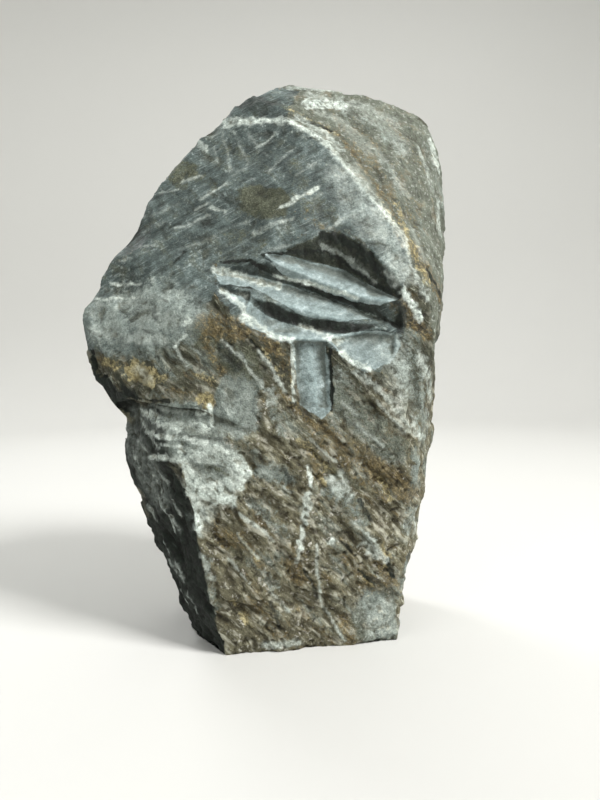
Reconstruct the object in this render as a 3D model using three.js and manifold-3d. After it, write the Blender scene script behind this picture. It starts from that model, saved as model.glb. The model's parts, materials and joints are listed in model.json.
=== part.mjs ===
// A rough block of soapstone, about 29 cm tall, sawn flat underneath so that it stands on end.
// Millimetres, +Z up. The origin is on the sawn base, below the middle of the block's bounding box.
// -Y is the broad front with the blue-grey face and the chisel cuts, +X is the side of the tan cheek.
import * as THREE from "three";
import { ConvexGeometry } from "three/addons/geometries/ConvexGeometry.js";
import { ImprovedNoise } from "three/addons/math/ImprovedNoise.js";
import { TessellateModifier } from "three/addons/modifiers/TessellateModifier.js";
import { mergeVertices } from "three/addons/utils/BufferGeometryUtils.js";
import Module from "manifold-3d";

const wasm = await Module();
wasm.setup();

// The stone broke along flat joints, so the whole block is the convex body between these corners
// [x, y, z], less the pieces that came away from it.
const BLOCK = [
  // the sawn foot
  [-25.5, -48.5, 0],
  [59, -36.5, 0],
  [66, 28, 0],
  [52, 50, 0],
  [-16, 52, 0],
  [-49, 16, 0],
  [-44, -25, 0],
  // the undercut left face and the arris in front of it
  [-49, -24, 27],
  [-40, -53.5, 74],
  [-64.5, -24, 80],
  [-43, -54.5, 94],
  [-75.5, -24, 98],
  // the right flank
  [62.5, -34, 20],
  [73, -20, 46],
  [77, -16, 71],
  [82, -14, 94],
  [85, -14, 120],
  [88, -13, 154],
  [90, -9, 168],
  // the front, fullest a little below its middle
  [62, -46, 84],
  [64, -53, 140],
  [16, -51, 60],
  [10, -55, 128],
  [-30, -53, 124],
  [-66, -42, 136],
  [-82, -36, 148],
  [-44, -47, 168],
  [0, -48, 186],
  [56, -51.5, 168],
  // the left shoulder and the long slope above it
  [-91.5, -24, 138],
  [-92.5, -26, 151],
  [-95.5, -26, 165],
  [-94, -26, 172],
  [-77.5, -24, 197.5],
  [-58.5, -18, 227],
  [-48, -15, 245],
  [-29, -11, 264],
  [-10.5, -6, 278],
  [3, -2, 284.5],
  // the rounded top and the right edge of the cheek
  [11, 1, 288],
  [31, 1, 286.5],
  [52, 4, 283],
  [66, 6, 280.5],
  [76, 8, 276],
  [86, 8, 267],
  [92, 8, 257],
  [95, 8, 244],
  [95.5, 6, 231],
  [94, 1, 214],
  [91.5, -4, 189],
  // the white ridge between the blue-grey face and the cheek
  [-20, -16, 260.5],
  [-3, -18, 261.5],
  [11, -22, 260.5],
  [22, -26, 252.5],
  [44, -38, 223.5],
  [63, -48, 191],
  [71, -50, 175],
  [76, -48, 158],
  // the back
  [-56, 30, 60],
  [-80, 26, 138],
  [-84, 22, 166],
  [-64, 34, 196],
  [-34, 34, 236],
  [2, 28, 273],
  [50, 30, 267],
  [82, 26, 238],
  [86, 26, 196],
  [82, 32, 132],
  [74, 34, 60],
  [48, 57, 92],
  [-24, 57, 96],
  [44, 58, 152],
  [-40, 57, 148],
  [34, 51, 206],
];

// What came away under the left shoulder: a bite at the side, and a shallower one round the front
// that leaves the pale terrace on the waist below it.
const SIDE_BITE = [
  [-76, -34, 115],
  [-74, 6, 112],
  [-93, -34, 139],
  [-91.5, 30, 136],
  [-110, -40, 160],
  [-110, 34, 158],
  [-110, -40, 96],
  [-110, 34, 96],
  [-78.5, -34, 97],
  [-77.5, 14, 97],
];

const FRONT_BITE = [
  [-78, -30, 122],
  [-60, -36, 124],
  [-34, -44, 121],
  [-4, -52, 108],
  [-84, -50, 126],
  [-32, -66, 120],
  [-2, -66, 108],
  [-86, -44, 94],
  [-60, -66, 93],
  [-8, -66, 92],
  [-30, -40, 93],
  [-74, -20, 96],
];

const WAIST = [
  [-80, -24, 96],
  [-62, -40.5, 94],
  [-43, -55.5, 93],
  [2, -57, 91],
  [-75, -24, 117],
  [-64, -35, 118],
  [-38, -48, 117],
  [-10, -54, 114],
  [-75, -10, 134],
  [-62, -30, 140],
  [-20, -46, 140],
  [-76, 24, 98],
  [-76, 30, 136],
  [20, 40, 96],
  [20, 40, 140],
];

// The steps up the right flank, each as the points [x, z] where it starts, bites in and ends, and
// the y where it begins, is deepest and runs out. They fall to the back with the slanting layers.
const FLANK_STEPS = [
  { profile: [[62.6, 20], [63.6, 31], [73, 47]], reach: [-50, -30, 26] },
  { profile: [[73.4, 51], [72.6, 64.5], [77.2, 71]], reach: [-44, -19, 12] },
  { profile: [[77.4, 73], [77, 89], [82.2, 94.5]], reach: [-56, -15, 30] },
  { profile: [[85.2, 121], [81, 139], [88.4, 156]], reach: [-60, -14, 20] },
];
const STEP_OUT = 30;
const STEP_INSET = 1;
const LAYER_FALL = 0.3;

// Slabs that split off the back along the slanting layers.
const BACK_SLABS = [
  [
    [-120, 44, 330],
    [-120, 36, 118],
    [-20, 49, 140],
    [60, 36, 240],
    [30, 20, 330],
    [-120, 120, 330],
    [-120, 120, 110],
    [-10, 120, 130],
    [70, 120, 240],
    [30, 120, 330],
  ],
  [
    [20, 53, -20],
    [4, 53, 40],
    [40, 50, 118],
    [110, 10, 128],
    [110, 8, -20],
    [20, 120, -20],
    [4, 120, 40],
    [40, 120, 124],
    [110, 120, 140],
    [110, 120, -20],
  ],
];

// Corners and edges that spalled off flat, each as the azimuth and elevation in degrees that the
// flat faces (azimuth 0 is the front, 90 is +X) and its depth below the corner that it took.
const SPALLS = [
  [128, 4, 7],
  [150, 24, 9],
  [204, -3, 5],
  [226, 8, 9],
  [206, 34, 9],
  [246, -10, 6],
  [176, -12, 4],
  [112, -18, 6],
  [168, 52, 6],
];
const SPALL_SIZE = 400;

// The chisel cuts in the front. Each station along a cut has its upper lip, its root and its lower
// lip as [x, z], and the depth of the root below the face.
const CUTS = [
  // the top cut, under the dark crescent
  [
    { upper: [-3, 193.5], root: [-1, 191.5], lower: [-2, 190], depth: 1.5 },
    { upper: [22, 200.5], root: [20, 187], lower: [14, 180], depth: 6 },
    { upper: [41, 197], root: [37, 181.5], lower: [30, 173], depth: 9 },
    { upper: [53, 185], root: [51, 173], lower: [45, 168.5], depth: 7 },
    { upper: [61.5, 174], root: [60, 168.5], lower: [59, 167.5], depth: 2 },
  ],
  // the long cut below it
  [
    { upper: [-26, 186.5], root: [-26, 184], lower: [-25.5, 181], depth: 1.5 },
    { upper: [-9, 189], root: [-9, 181], lower: [-9.5, 175.5], depth: 6 },
    { upper: [9, 181], root: [9.5, 176], lower: [9.5, 166], depth: 7 },
    { upper: [27, 173], root: [28, 170], lower: [27, 160.5], depth: 7 },
    { upper: [49, 167], root: [49, 160.5], lower: [48, 158.5], depth: 6 },
    { upper: [60, 166], root: [60.5, 157], lower: [61, 154.5], depth: 3 },
  ],
  // the short cut under its left end, with the pale ledge as its floor
  [
    { upper: [-24, 177], root: [-23, 176], lower: [-22.5, 174], depth: 1 },
    { upper: [-9, 175], root: [-8.5, 174], lower: [-11, 164.5], depth: 3.5 },
  ],
  [
    { upper: [-8, 172], root: [-7, 168], lower: [-13, 160], depth: 2 },
    { upper: [6, 167], root: [4, 160.5], lower: [0, 154], depth: 5 },
    { upper: [18, 162], root: [19, 156.5], lower: [14, 151.5], depth: 5 },
    { upper: [35, 159.5], root: [35, 154], lower: [32, 152], depth: 4 },
    { upper: [52, 158.5], root: [46, 155.5], lower: [44, 154], depth: 1.5 },
  ],
  // the upright channel, as its two side walls
  [
    { upper: [9.5, 151], root: [11.5, 151], lower: [27, 150], depth: 3.5 },
    { upper: [10, 134], root: [12, 134], lower: [27, 132], depth: 4 },
    { upper: [11, 123], root: [13, 123], lower: [27.5, 117], depth: 3 },
    { upper: [17, 115], root: [18, 117], lower: [24, 114.5], depth: 1 },
  ],
  [
    { upper: [27, 150], root: [24.5, 150], lower: [14, 151], depth: 4 },
    { upper: [27.5, 134], root: [25, 134], lower: [14, 134], depth: 4.5 },
    { upper: [27.5, 119], root: [25, 119], lower: [16, 120], depth: 3 },
  ],
  // the shallow chip beside it
  [
    { upper: [26, 152.5], root: [28, 151], lower: [32, 145], depth: 2.5 },
    { upper: [44, 155], root: [44, 153], lower: [45, 136.5], depth: 3.5 },
    { upper: [58, 154.5], root: [57, 151], lower: [56.5, 140], depth: 2.5 },
  ],
];
// The cuts' outlines are carried this share of their depth out of the face, and the face is found
// from this far in front.
const CUT_OVERSHOOT = 0.7;
const IN_FRONT = 200;

// The broken surface: the longest edge of its facets and how often they may be halved to reach it,
// broad swells and smaller knobs as their width and depth, where in the noise they are read, and the
// height over which both die away above the sawn base.
const LONGEST_EDGE = 12.5;
const SPLITS = 12;
const SWELL_WIDTH = 42;
const SWELL_DEPTH = 2.8;
const KNOB_WIDTH = 15;
const KNOB_DEPTH = 1.4;
const NOISE_PLACE = new THREE.Vector3(3.1, 7.7, 1.3);
const SAWN_REACH = 5;

const noise = new ImprovedNoise();

function solidOf(geometry) {
  const bare = geometry.clone();
  bare.deleteAttribute("normal");
  bare.deleteAttribute("uv");
  const merged = mergeVertices(bare, 1e-3);
  return new wasm.Manifold(
    new wasm.Mesh({
      numProp: 3,
      vertProperties: new Float32Array(merged.attributes.position.array),
      triVerts: new Uint32Array(merged.index.array),
    }),
  );
}

function geometryOf(solid) {
  const { vertProperties, triVerts } = solid.getMesh();
  return new THREE.BufferGeometry()
    .setAttribute("position", new THREE.BufferAttribute(new Float32Array(vertProperties), 3))
    .setIndex(new THREE.BufferAttribute(new Uint32Array(triVerts), 1));
}

function massOf(corners) {
  return solidOf(new ConvexGeometry(corners.map((corner) => new THREE.Vector3(...corner))));
}

function swell(point, width) {
  const place = point.clone().divideScalar(width).add(NOISE_PLACE);
  return noise.noise(place.x, place.y, place.z);
}

function roughened(geometry) {
  const bare = mergeVertices(geometry, 1e-2);
  bare.computeVertexNormals();
  const { position, normal } = bare.attributes;
  const point = new THREE.Vector3();
  const outward = new THREE.Vector3();
  for (let i = 0; i < position.count; i++) {
    point.fromBufferAttribute(position, i);
    outward.fromBufferAttribute(normal, i);
    const free = THREE.MathUtils.smoothstep(point.z, 0, SAWN_REACH);
    const depth = SWELL_DEPTH * swell(point, SWELL_WIDTH) + KNOB_DEPTH * swell(point, KNOB_WIDTH);
    point.addScaledVector(outward, free * depth);
    position.setXYZ(i, point.x, point.y, point.z);
  }
  bare.deleteAttribute("normal");
  return bare;
}

function flankStep({ profile: [start, bite, end], reach: [front, deepest, back] }) {
  const corners = [[bite[0], deepest, bite[1]]];
  for (const y of [front, deepest, back]) {
    const fall = LAYER_FALL * (y - deepest);
    const inset = y === deepest ? 0 : STEP_INSET;
    for (const [x, z] of [start, end]) {
      corners.push([x + inset, y, z - fall], [x + STEP_OUT, y, z - fall]);
    }
  }
  return massOf(corners);
}

function spall([azimuth, elevation, depth]) {
  const across = THREE.MathUtils.degToRad(azimuth);
  const up = THREE.MathUtils.degToRad(elevation);
  const facing = new THREE.Vector3(Math.sin(across), -Math.cos(across), Math.tan(up)).normalize();
  const farthest = Math.max(...BLOCK.map((corner) => facing.dot(new THREE.Vector3(...corner))));
  const cutter = new THREE.BoxGeometry(SPALL_SIZE, SPALL_SIZE, SPALL_SIZE);
  cutter.translate(0, 0, SPALL_SIZE / 2 + farthest - depth);
  const turn = new THREE.Quaternion().setFromUnitVectors(new THREE.Vector3(0, 0, 1), facing);
  return solidOf(cutter.applyQuaternion(turn));
}

// The point of the face at [x, z], seen from the front.
function faceAt(mesh, x, z) {
  const from = new THREE.Vector3(x, -IN_FRONT, z);
  const ray = new THREE.Raycaster(from, new THREE.Vector3(0, 1, 0));
  return ray.intersectObject(mesh)[0].point;
}

function chiselCut(mesh, stations) {
  const corners = [];
  for (const { upper, root, lower, depth } of stations) {
    const bottom = faceAt(mesh, ...root);
    bottom.y += depth;
    corners.push(bottom.toArray());
    for (const lip of [upper, lower]) {
      const edge = faceAt(mesh, ...lip);
      corners.push(edge.lerp(bottom, -CUT_OVERSHOOT).toArray());
    }
  }
  return massOf(corners);
}

const slot = massOf(FRONT_BITE).subtract(massOf(WAIST));
const broken = [
  massOf(SIDE_BITE),
  slot,
  ...FLANK_STEPS.map(flankStep),
  ...BACK_SLABS.map(massOf),
  ...SPALLS.map(spall),
];
const block = broken.reduce((whole, piece) => whole.subtract(piece), massOf(BLOCK));
const tessellated = new TessellateModifier(LONGEST_EDGE, SPLITS).modify(geometryOf(block));
const roughGeometry = roughened(tessellated);
const face = new THREE.Mesh(roughGeometry);
const cuts = CUTS.map((stations) => chiselCut(face, stations));
const carved = cuts.reduce((whole, cut) => whole.subtract(cut), solidOf(roughGeometry));

// The origin goes below the middle of the finished stone's bounding box.
const stoneGeometry = geometryOf(carved);
stoneGeometry.computeBoundingBox();
const middle = stoneGeometry.boundingBox.getCenter(new THREE.Vector3());

const soapstone = new THREE.MeshStandardMaterial({ color: 0x757668, roughness: 0.72, metalness: 0 });
const stone = new THREE.Mesh(stoneGeometry, soapstone);
stone.name = "stone";
stone.position.set(-middle.x, -middle.y, 0);

const soapstoneBlock = new THREE.Group();
soapstoneBlock.add(stone);

export default soapstoneBlock;
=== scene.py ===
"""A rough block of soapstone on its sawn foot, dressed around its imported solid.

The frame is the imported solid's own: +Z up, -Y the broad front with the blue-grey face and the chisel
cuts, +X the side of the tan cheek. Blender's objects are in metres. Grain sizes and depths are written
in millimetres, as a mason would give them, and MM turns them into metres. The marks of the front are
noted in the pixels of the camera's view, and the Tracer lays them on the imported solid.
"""

import json
import logging
import math
from collections.abc import Sequence
from dataclasses import asdict, dataclass, field
from enum import Enum

import bpy
import numpy as np
from mathutils import Matrix, Vector, noise
from mathutils.bvhtree import BVHTree

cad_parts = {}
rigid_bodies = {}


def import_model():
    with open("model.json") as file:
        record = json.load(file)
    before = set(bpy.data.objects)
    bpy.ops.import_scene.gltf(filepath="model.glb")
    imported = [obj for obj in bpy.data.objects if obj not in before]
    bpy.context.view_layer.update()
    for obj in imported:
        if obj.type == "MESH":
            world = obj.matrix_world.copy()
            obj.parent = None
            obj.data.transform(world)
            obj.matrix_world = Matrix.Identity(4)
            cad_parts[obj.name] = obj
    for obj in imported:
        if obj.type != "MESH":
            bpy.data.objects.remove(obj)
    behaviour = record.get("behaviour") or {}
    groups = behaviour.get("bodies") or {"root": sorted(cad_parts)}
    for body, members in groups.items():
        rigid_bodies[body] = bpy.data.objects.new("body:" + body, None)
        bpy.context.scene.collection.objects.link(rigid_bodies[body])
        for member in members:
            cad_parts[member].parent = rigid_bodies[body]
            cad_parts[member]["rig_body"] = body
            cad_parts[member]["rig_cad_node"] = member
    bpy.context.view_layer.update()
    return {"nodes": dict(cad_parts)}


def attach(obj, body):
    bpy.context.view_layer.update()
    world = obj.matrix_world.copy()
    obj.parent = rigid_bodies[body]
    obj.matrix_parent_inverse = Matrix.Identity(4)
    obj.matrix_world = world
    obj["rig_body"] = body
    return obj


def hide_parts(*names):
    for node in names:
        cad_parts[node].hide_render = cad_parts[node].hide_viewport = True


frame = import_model()

LOG = logging.getLogger("soapstone")
MM = 0.001
NODE = "stone"
PIECE = "soapstone_block"
HOLLOW = "hollow"

Spot = tuple[float, float]
Triple = tuple[float, float, float]


def unit(*parts: float) -> np.ndarray:
    """Scale a direction to a length of one."""
    return np.array(parts) / np.linalg.norm(parts)


# The layers of the stone dip down to the viewer's right: the direction across them, the one they
# run along on the front, and the one they run back in.
ACROSS = unit(0.70, 0.20, 0.68)
ALONG = np.array([0.697, 0.0, -0.717])
INWARD = np.cross(ACROSS, ALONG)
BEDS = (ACROSS, ALONG, INWARD)

# The rasp was drawn up to the viewer's right: along its marks, into the stone and across them. The
# colours follow it a little less steeply than the relief does.
RASP_RELIEF = ((0.86, 0.0, 0.5), (0.0, 1.0, 0.0), (-0.5, 0.0, 0.86))
RASP_COLOUR = ((0.90, 0.0, 0.44), (0.0, 1.0, 0.0), (-0.44, 0.0, 0.90))


class Tone(Enum):
    """What a mark brings out, named as the mesh attribute that holds how much of it there is."""

    BLUE = "blue"
    CHEEK = "cheek"
    FRESH = "fresh"
    GREY = "grey"
    FILM = "film"
    RUST = "rust"
    OCHRE = "ochre"
    # Painted shade in the recesses, under the lips of the cuts and on the left flank, together with the
    # stone's own dark cracks and dark rock.
    DARK = "shade_and_dark"
    PALE = "pale"


class Side(Enum):
    """The broad side that a mark is on, as the sign of Y that it looks towards."""

    FRONT = -1.0
    BACK = 1.0


def smooth_step(value: np.ndarray, low: float, high: float) -> np.ndarray:
    """Ease from 0 to 1 as a value goes from low to high.

    Args:
        value: the values.
        low: where the result leaves 0.
        high: where it reaches 1. It may lie below low, and the ease is then turned round.

    Returns:
        The eased values.
    """
    share = np.clip((value - low) / (high - low), 0.0, 1.0)
    return share * share * (3.0 - 2.0 * share)


def bumps(points: np.ndarray, size: float | Sequence[float], seed: int, octaves: int = 1) -> np.ndarray:
    """Smooth noise between about -1 and 1.

    Args:
        points: one row of three millimetre coordinates each.
        size: how wide the lumps are, in millimetres, as one number or one for each axis.
        seed: which noise; each number gives its own.
        octaves: how many finer layers are summed.

    Returns:
        One value for each point.
    """
    stride = np.array([17.3, 41.7, 29.1])
    fading, finer = 0.9, 2.0
    spots = (points / np.asarray(size) + seed * stride).tolist()
    if octaves == 1:
        return np.array([noise.noise(spot) for spot in spots])
    return np.array([noise.fractal(spot, fading, finer, octaves) for spot in spots])


def strata(bed: np.ndarray, thick: float, reach: float, seed: int) -> np.ndarray:
    """Layers of broken stone that stand out by different amounts, with a sharp step between them.

    Args:
        bed: points in coordinates across the layers, along them and back into the stone.
        thick: how thick a layer is, in millimetres.
        reach: how far along a layer it keeps its height, in millimetres.
        seed: which noise.

    Returns:
        A height between about -1 and 1 for each point.
    """
    sway, apart, depthwise = 1.3, 3.71, 1.3
    step_start, gain = 0.72, 1.6
    warp = bumps(bed, (3 * thick, 0.8 * reach, 0.6 * reach), seed, octaves=2)
    place = bed[:, 0] / thick + sway * warp
    layer = np.floor(place)
    heights = []
    for index in (layer, layer + 1):
        spots = np.column_stack([index * apart, bed[:, 1] / reach, depthwise * bed[:, 2] / reach])
        heights.append(bumps(spots, 1.0, seed + 1))
    share = smooth_step(place - layer, step_start, 1.0)
    return gain * (heights[0] * (1 - share) + heights[1] * share)


SCOOP_MIDDLE = 0.45


def scoops(points: np.ndarray, size: float, seed: int) -> np.ndarray:
    """Shallow scoops that meet in sharp ridges, as on chipped stone.

    Args:
        points: one row of three millimetre coordinates each.
        size: how wide a scoop is, in millimetres.
        seed: which noise.

    Returns:
        A height from 0 in the middle of a scoop to about 1 on the ridges.
    """
    stride, bowl, crest = 5.3, 1.4, 1.3
    spots = points / size + seed * stride
    near = np.array([noise.voronoi(spot)[0][:2] for spot in spots.tolist()])
    return np.minimum(near[:, 0] * near[:, 0] * bowl, crest)


def turned(points: np.ndarray, axes: Sequence[Sequence[float]]) -> np.ndarray:
    """Turn points into coordinates along three axes."""
    return points @ np.array(axes).T


def line_distance(spots: np.ndarray, line: np.ndarray) -> np.ndarray:
    """Work out how far points of a plane lie from a line of straight pieces.

    Args:
        spots: the points, one row of two coordinates each.
        line: the line's corners, in order.

    Returns:
        The distance of each point, in the same unit.
    """
    nearest = np.full(len(spots), np.inf)
    for start, end in zip(line[:-1], line[1:]):
        run = end - start
        share = np.clip((spots - start) @ run / max(float(run @ run), 1e-9), 0.0, 1.0)
        gap = spots - start - share[:, None] * run
        nearest = np.minimum(nearest, np.hypot(gap[:, 0], gap[:, 1]))
    return nearest


def inside(spots: np.ndarray, outline: np.ndarray) -> np.ndarray:
    """Tell which points of a plane lie inside a closed outline.

    Args:
        spots: the points, one row of two coordinates each.
        outline: the outline's corners, in order.

    Returns:
        True or False for each point.
    """
    within = np.zeros(len(spots), bool)
    for start, end in zip(outline, np.roll(outline, -1, axis=0)):
        crosses = (start[1] > spots[:, 1]) != (end[1] > spots[:, 1])
        if not crosses.any():
            continue
        edge = start[0] + (spots[:, 1] - start[1]) * (end[0] - start[0]) / (end[1] - start[1])
        within ^= crosses & (spots[:, 0] < edge)
    return within


@dataclass(frozen=True)
class Viewpoint:
    """The place that the stone is looked at from, and the pixels of its view.

    Its eye is in metres, and a spot of the view is a column and a row, counted from the top left.
    """

    eye: Triple = (0.01401, -0.33090, 0.14310)
    down: float = math.radians(4.06)
    roll: float = math.radians(1.21)
    columns: int = 600
    rows: int = 800
    focal_pixels: float = 601.0

    def turn(self) -> Matrix:
        """Turn the camera's own axes into the scene's."""
        level = Matrix.Rotation(math.pi / 2 - self.down, 4, "X")
        return level @ Matrix.Rotation(-self.roll, 4, "Z")

    def sight(self, spot: Spot) -> Vector:
        """Point from the eye through a spot of the view."""
        column, row = spot
        return self.turn() @ Vector((column - self.columns / 2, self.rows / 2 - row, -self.focal_pixels))


@dataclass
class Tracer:
    """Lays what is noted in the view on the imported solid."""

    viewpoint: Viewpoint
    solid: bpy.types.Mesh
    middle: Spot = (270.0, 380.0)
    steps: int = 60
    tree: BVHTree = field(init=False)

    def __post_init__(self) -> None:
        """Sort the solid's triangles, so that a line of sight finds them."""
        corners = [corner.co for corner in self.solid.vertices]
        self.tree = BVHTree.FromPolygons(corners, [tuple(face.vertices) for face in self.solid.polygons])

    def depth(self, spot: Spot) -> float:
        """Find how deep the stone lies behind a spot, or beside it where the spot misses the stone.

        Args:
            spot: the spot of the view.

        Returns:
            The distance from the eye along Y, in metres.
        """
        eye = Vector(self.viewpoint.eye)
        for step in range(self.steps):
            aim = Vector(spot).lerp(Vector(self.middle), step / self.steps)
            place = self.tree.ray_cast(eye, self.viewpoint.sight(tuple(aim)))[0]
            if place is not None:
                return place.y - eye.y
        raise ValueError(f"no stone is seen from {spot} inwards")

    def traced(self, spots: Sequence[Spot]) -> tuple[np.ndarray, float]:
        """Lay spots of the view on the stone.

        Args:
            spots: the spots.

        Returns:
            Their (x, z), and how wide a pixel is there, both in millimetres.
        """
        eye = self.viewpoint.eye
        places, depths = [], []
        for spot in spots:
            depths.append(self.depth(spot))
            sight = self.viewpoint.sight(spot)
            reach = depths[-1] / sight.y
            places.append(((eye[0] + reach * sight.x) / MM, (eye[2] + reach * sight.z) / MM))
        return np.array(places), sum(depths) / len(depths) / self.viewpoint.focal_pixels / MM


@dataclass(frozen=True)
class Brush:
    """How soft and frayed a mark's edge is, in millimetres and as shares of its size."""

    least_soft: float = 0.5
    soft_share: float = 0.45
    least_fray: float = 0.3
    fray_share: float = 0.7
    most_fray: float = 2.2
    facet_fray: float = 0.8


BRUSH = Brush()


@dataclass(frozen=True)
class Line:
    """A line that a stroke of colour follows.

    Its points and width are pixels of the view on the front, and (x, z) in millimetres on the back.
    Its relief is how far it stands out, or sinks in if it is below nothing, in millimetres.
    """

    width: float
    strength: float
    points: tuple[Spot, ...]
    relief: float = 0.0

    def cover(self, spots: np.ndarray, wobble: np.ndarray, track: np.ndarray, scale: float) -> np.ndarray:
        """Work out how much of the stroke each place of the stone gets.

        Args:
            spots: the places' (x, z), in millimetres.
            wobble: noise between -1 and 1 that frays the stroke's edge.
            track: the line's points, laid on the stone, in millimetres.
            scale: how many millimetres the line's own unit is.

        Returns:
            A share from 0 to 1 for each place.
        """
        reach = round(self.width * scale, 1) / 2
        soft = max(BRUSH.least_soft, BRUSH.soft_share * reach)
        fray = wobble * min(BRUSH.most_fray, BRUSH.fray_share * reach + BRUSH.least_fray)
        gap = line_distance(spots, track) + fray
        return self.strength * smooth_step(gap, reach + soft, reach - soft)


@dataclass(frozen=True)
class Streaks:
    """The strokes of one tone on one part of the stone."""

    part: str
    tone: Tone
    lines: tuple[Line, ...]
    side: Side = Side.FRONT


@dataclass(frozen=True)
class Facet:
    """A patch of one tone within an outline, in the same units as a Line.

    With under, it covers only what looks down within that outline.
    """

    part: str
    tone: Tone
    strength: float
    soft: float
    outline: tuple[Spot, ...]
    side: Side = Side.FRONT
    under: bool = False

    def cover(self, spots: np.ndarray, wobble: np.ndarray, ring: np.ndarray, scale: float) -> np.ndarray:
        """Work out how much of the patch each place of the stone gets.

        Args:
            spots: the places' (x, z), in millimetres.
            wobble: noise between -1 and 1 that frays the patch's edge.
            ring: the outline, laid on the stone, in millimetres.
            scale: how many millimetres the outline's own unit is.

        Returns:
            A share from 0 to 1 for each place.
        """
        soft = round(self.soft * scale, 1)
        gap = line_distance(spots, np.vstack([ring, ring[:1]]))
        gap = np.where(inside(spots, ring), gap, -gap) + BRUSH.facet_fray * soft * wobble
        return self.strength * smooth_step(gap, -soft, soft)


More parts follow.
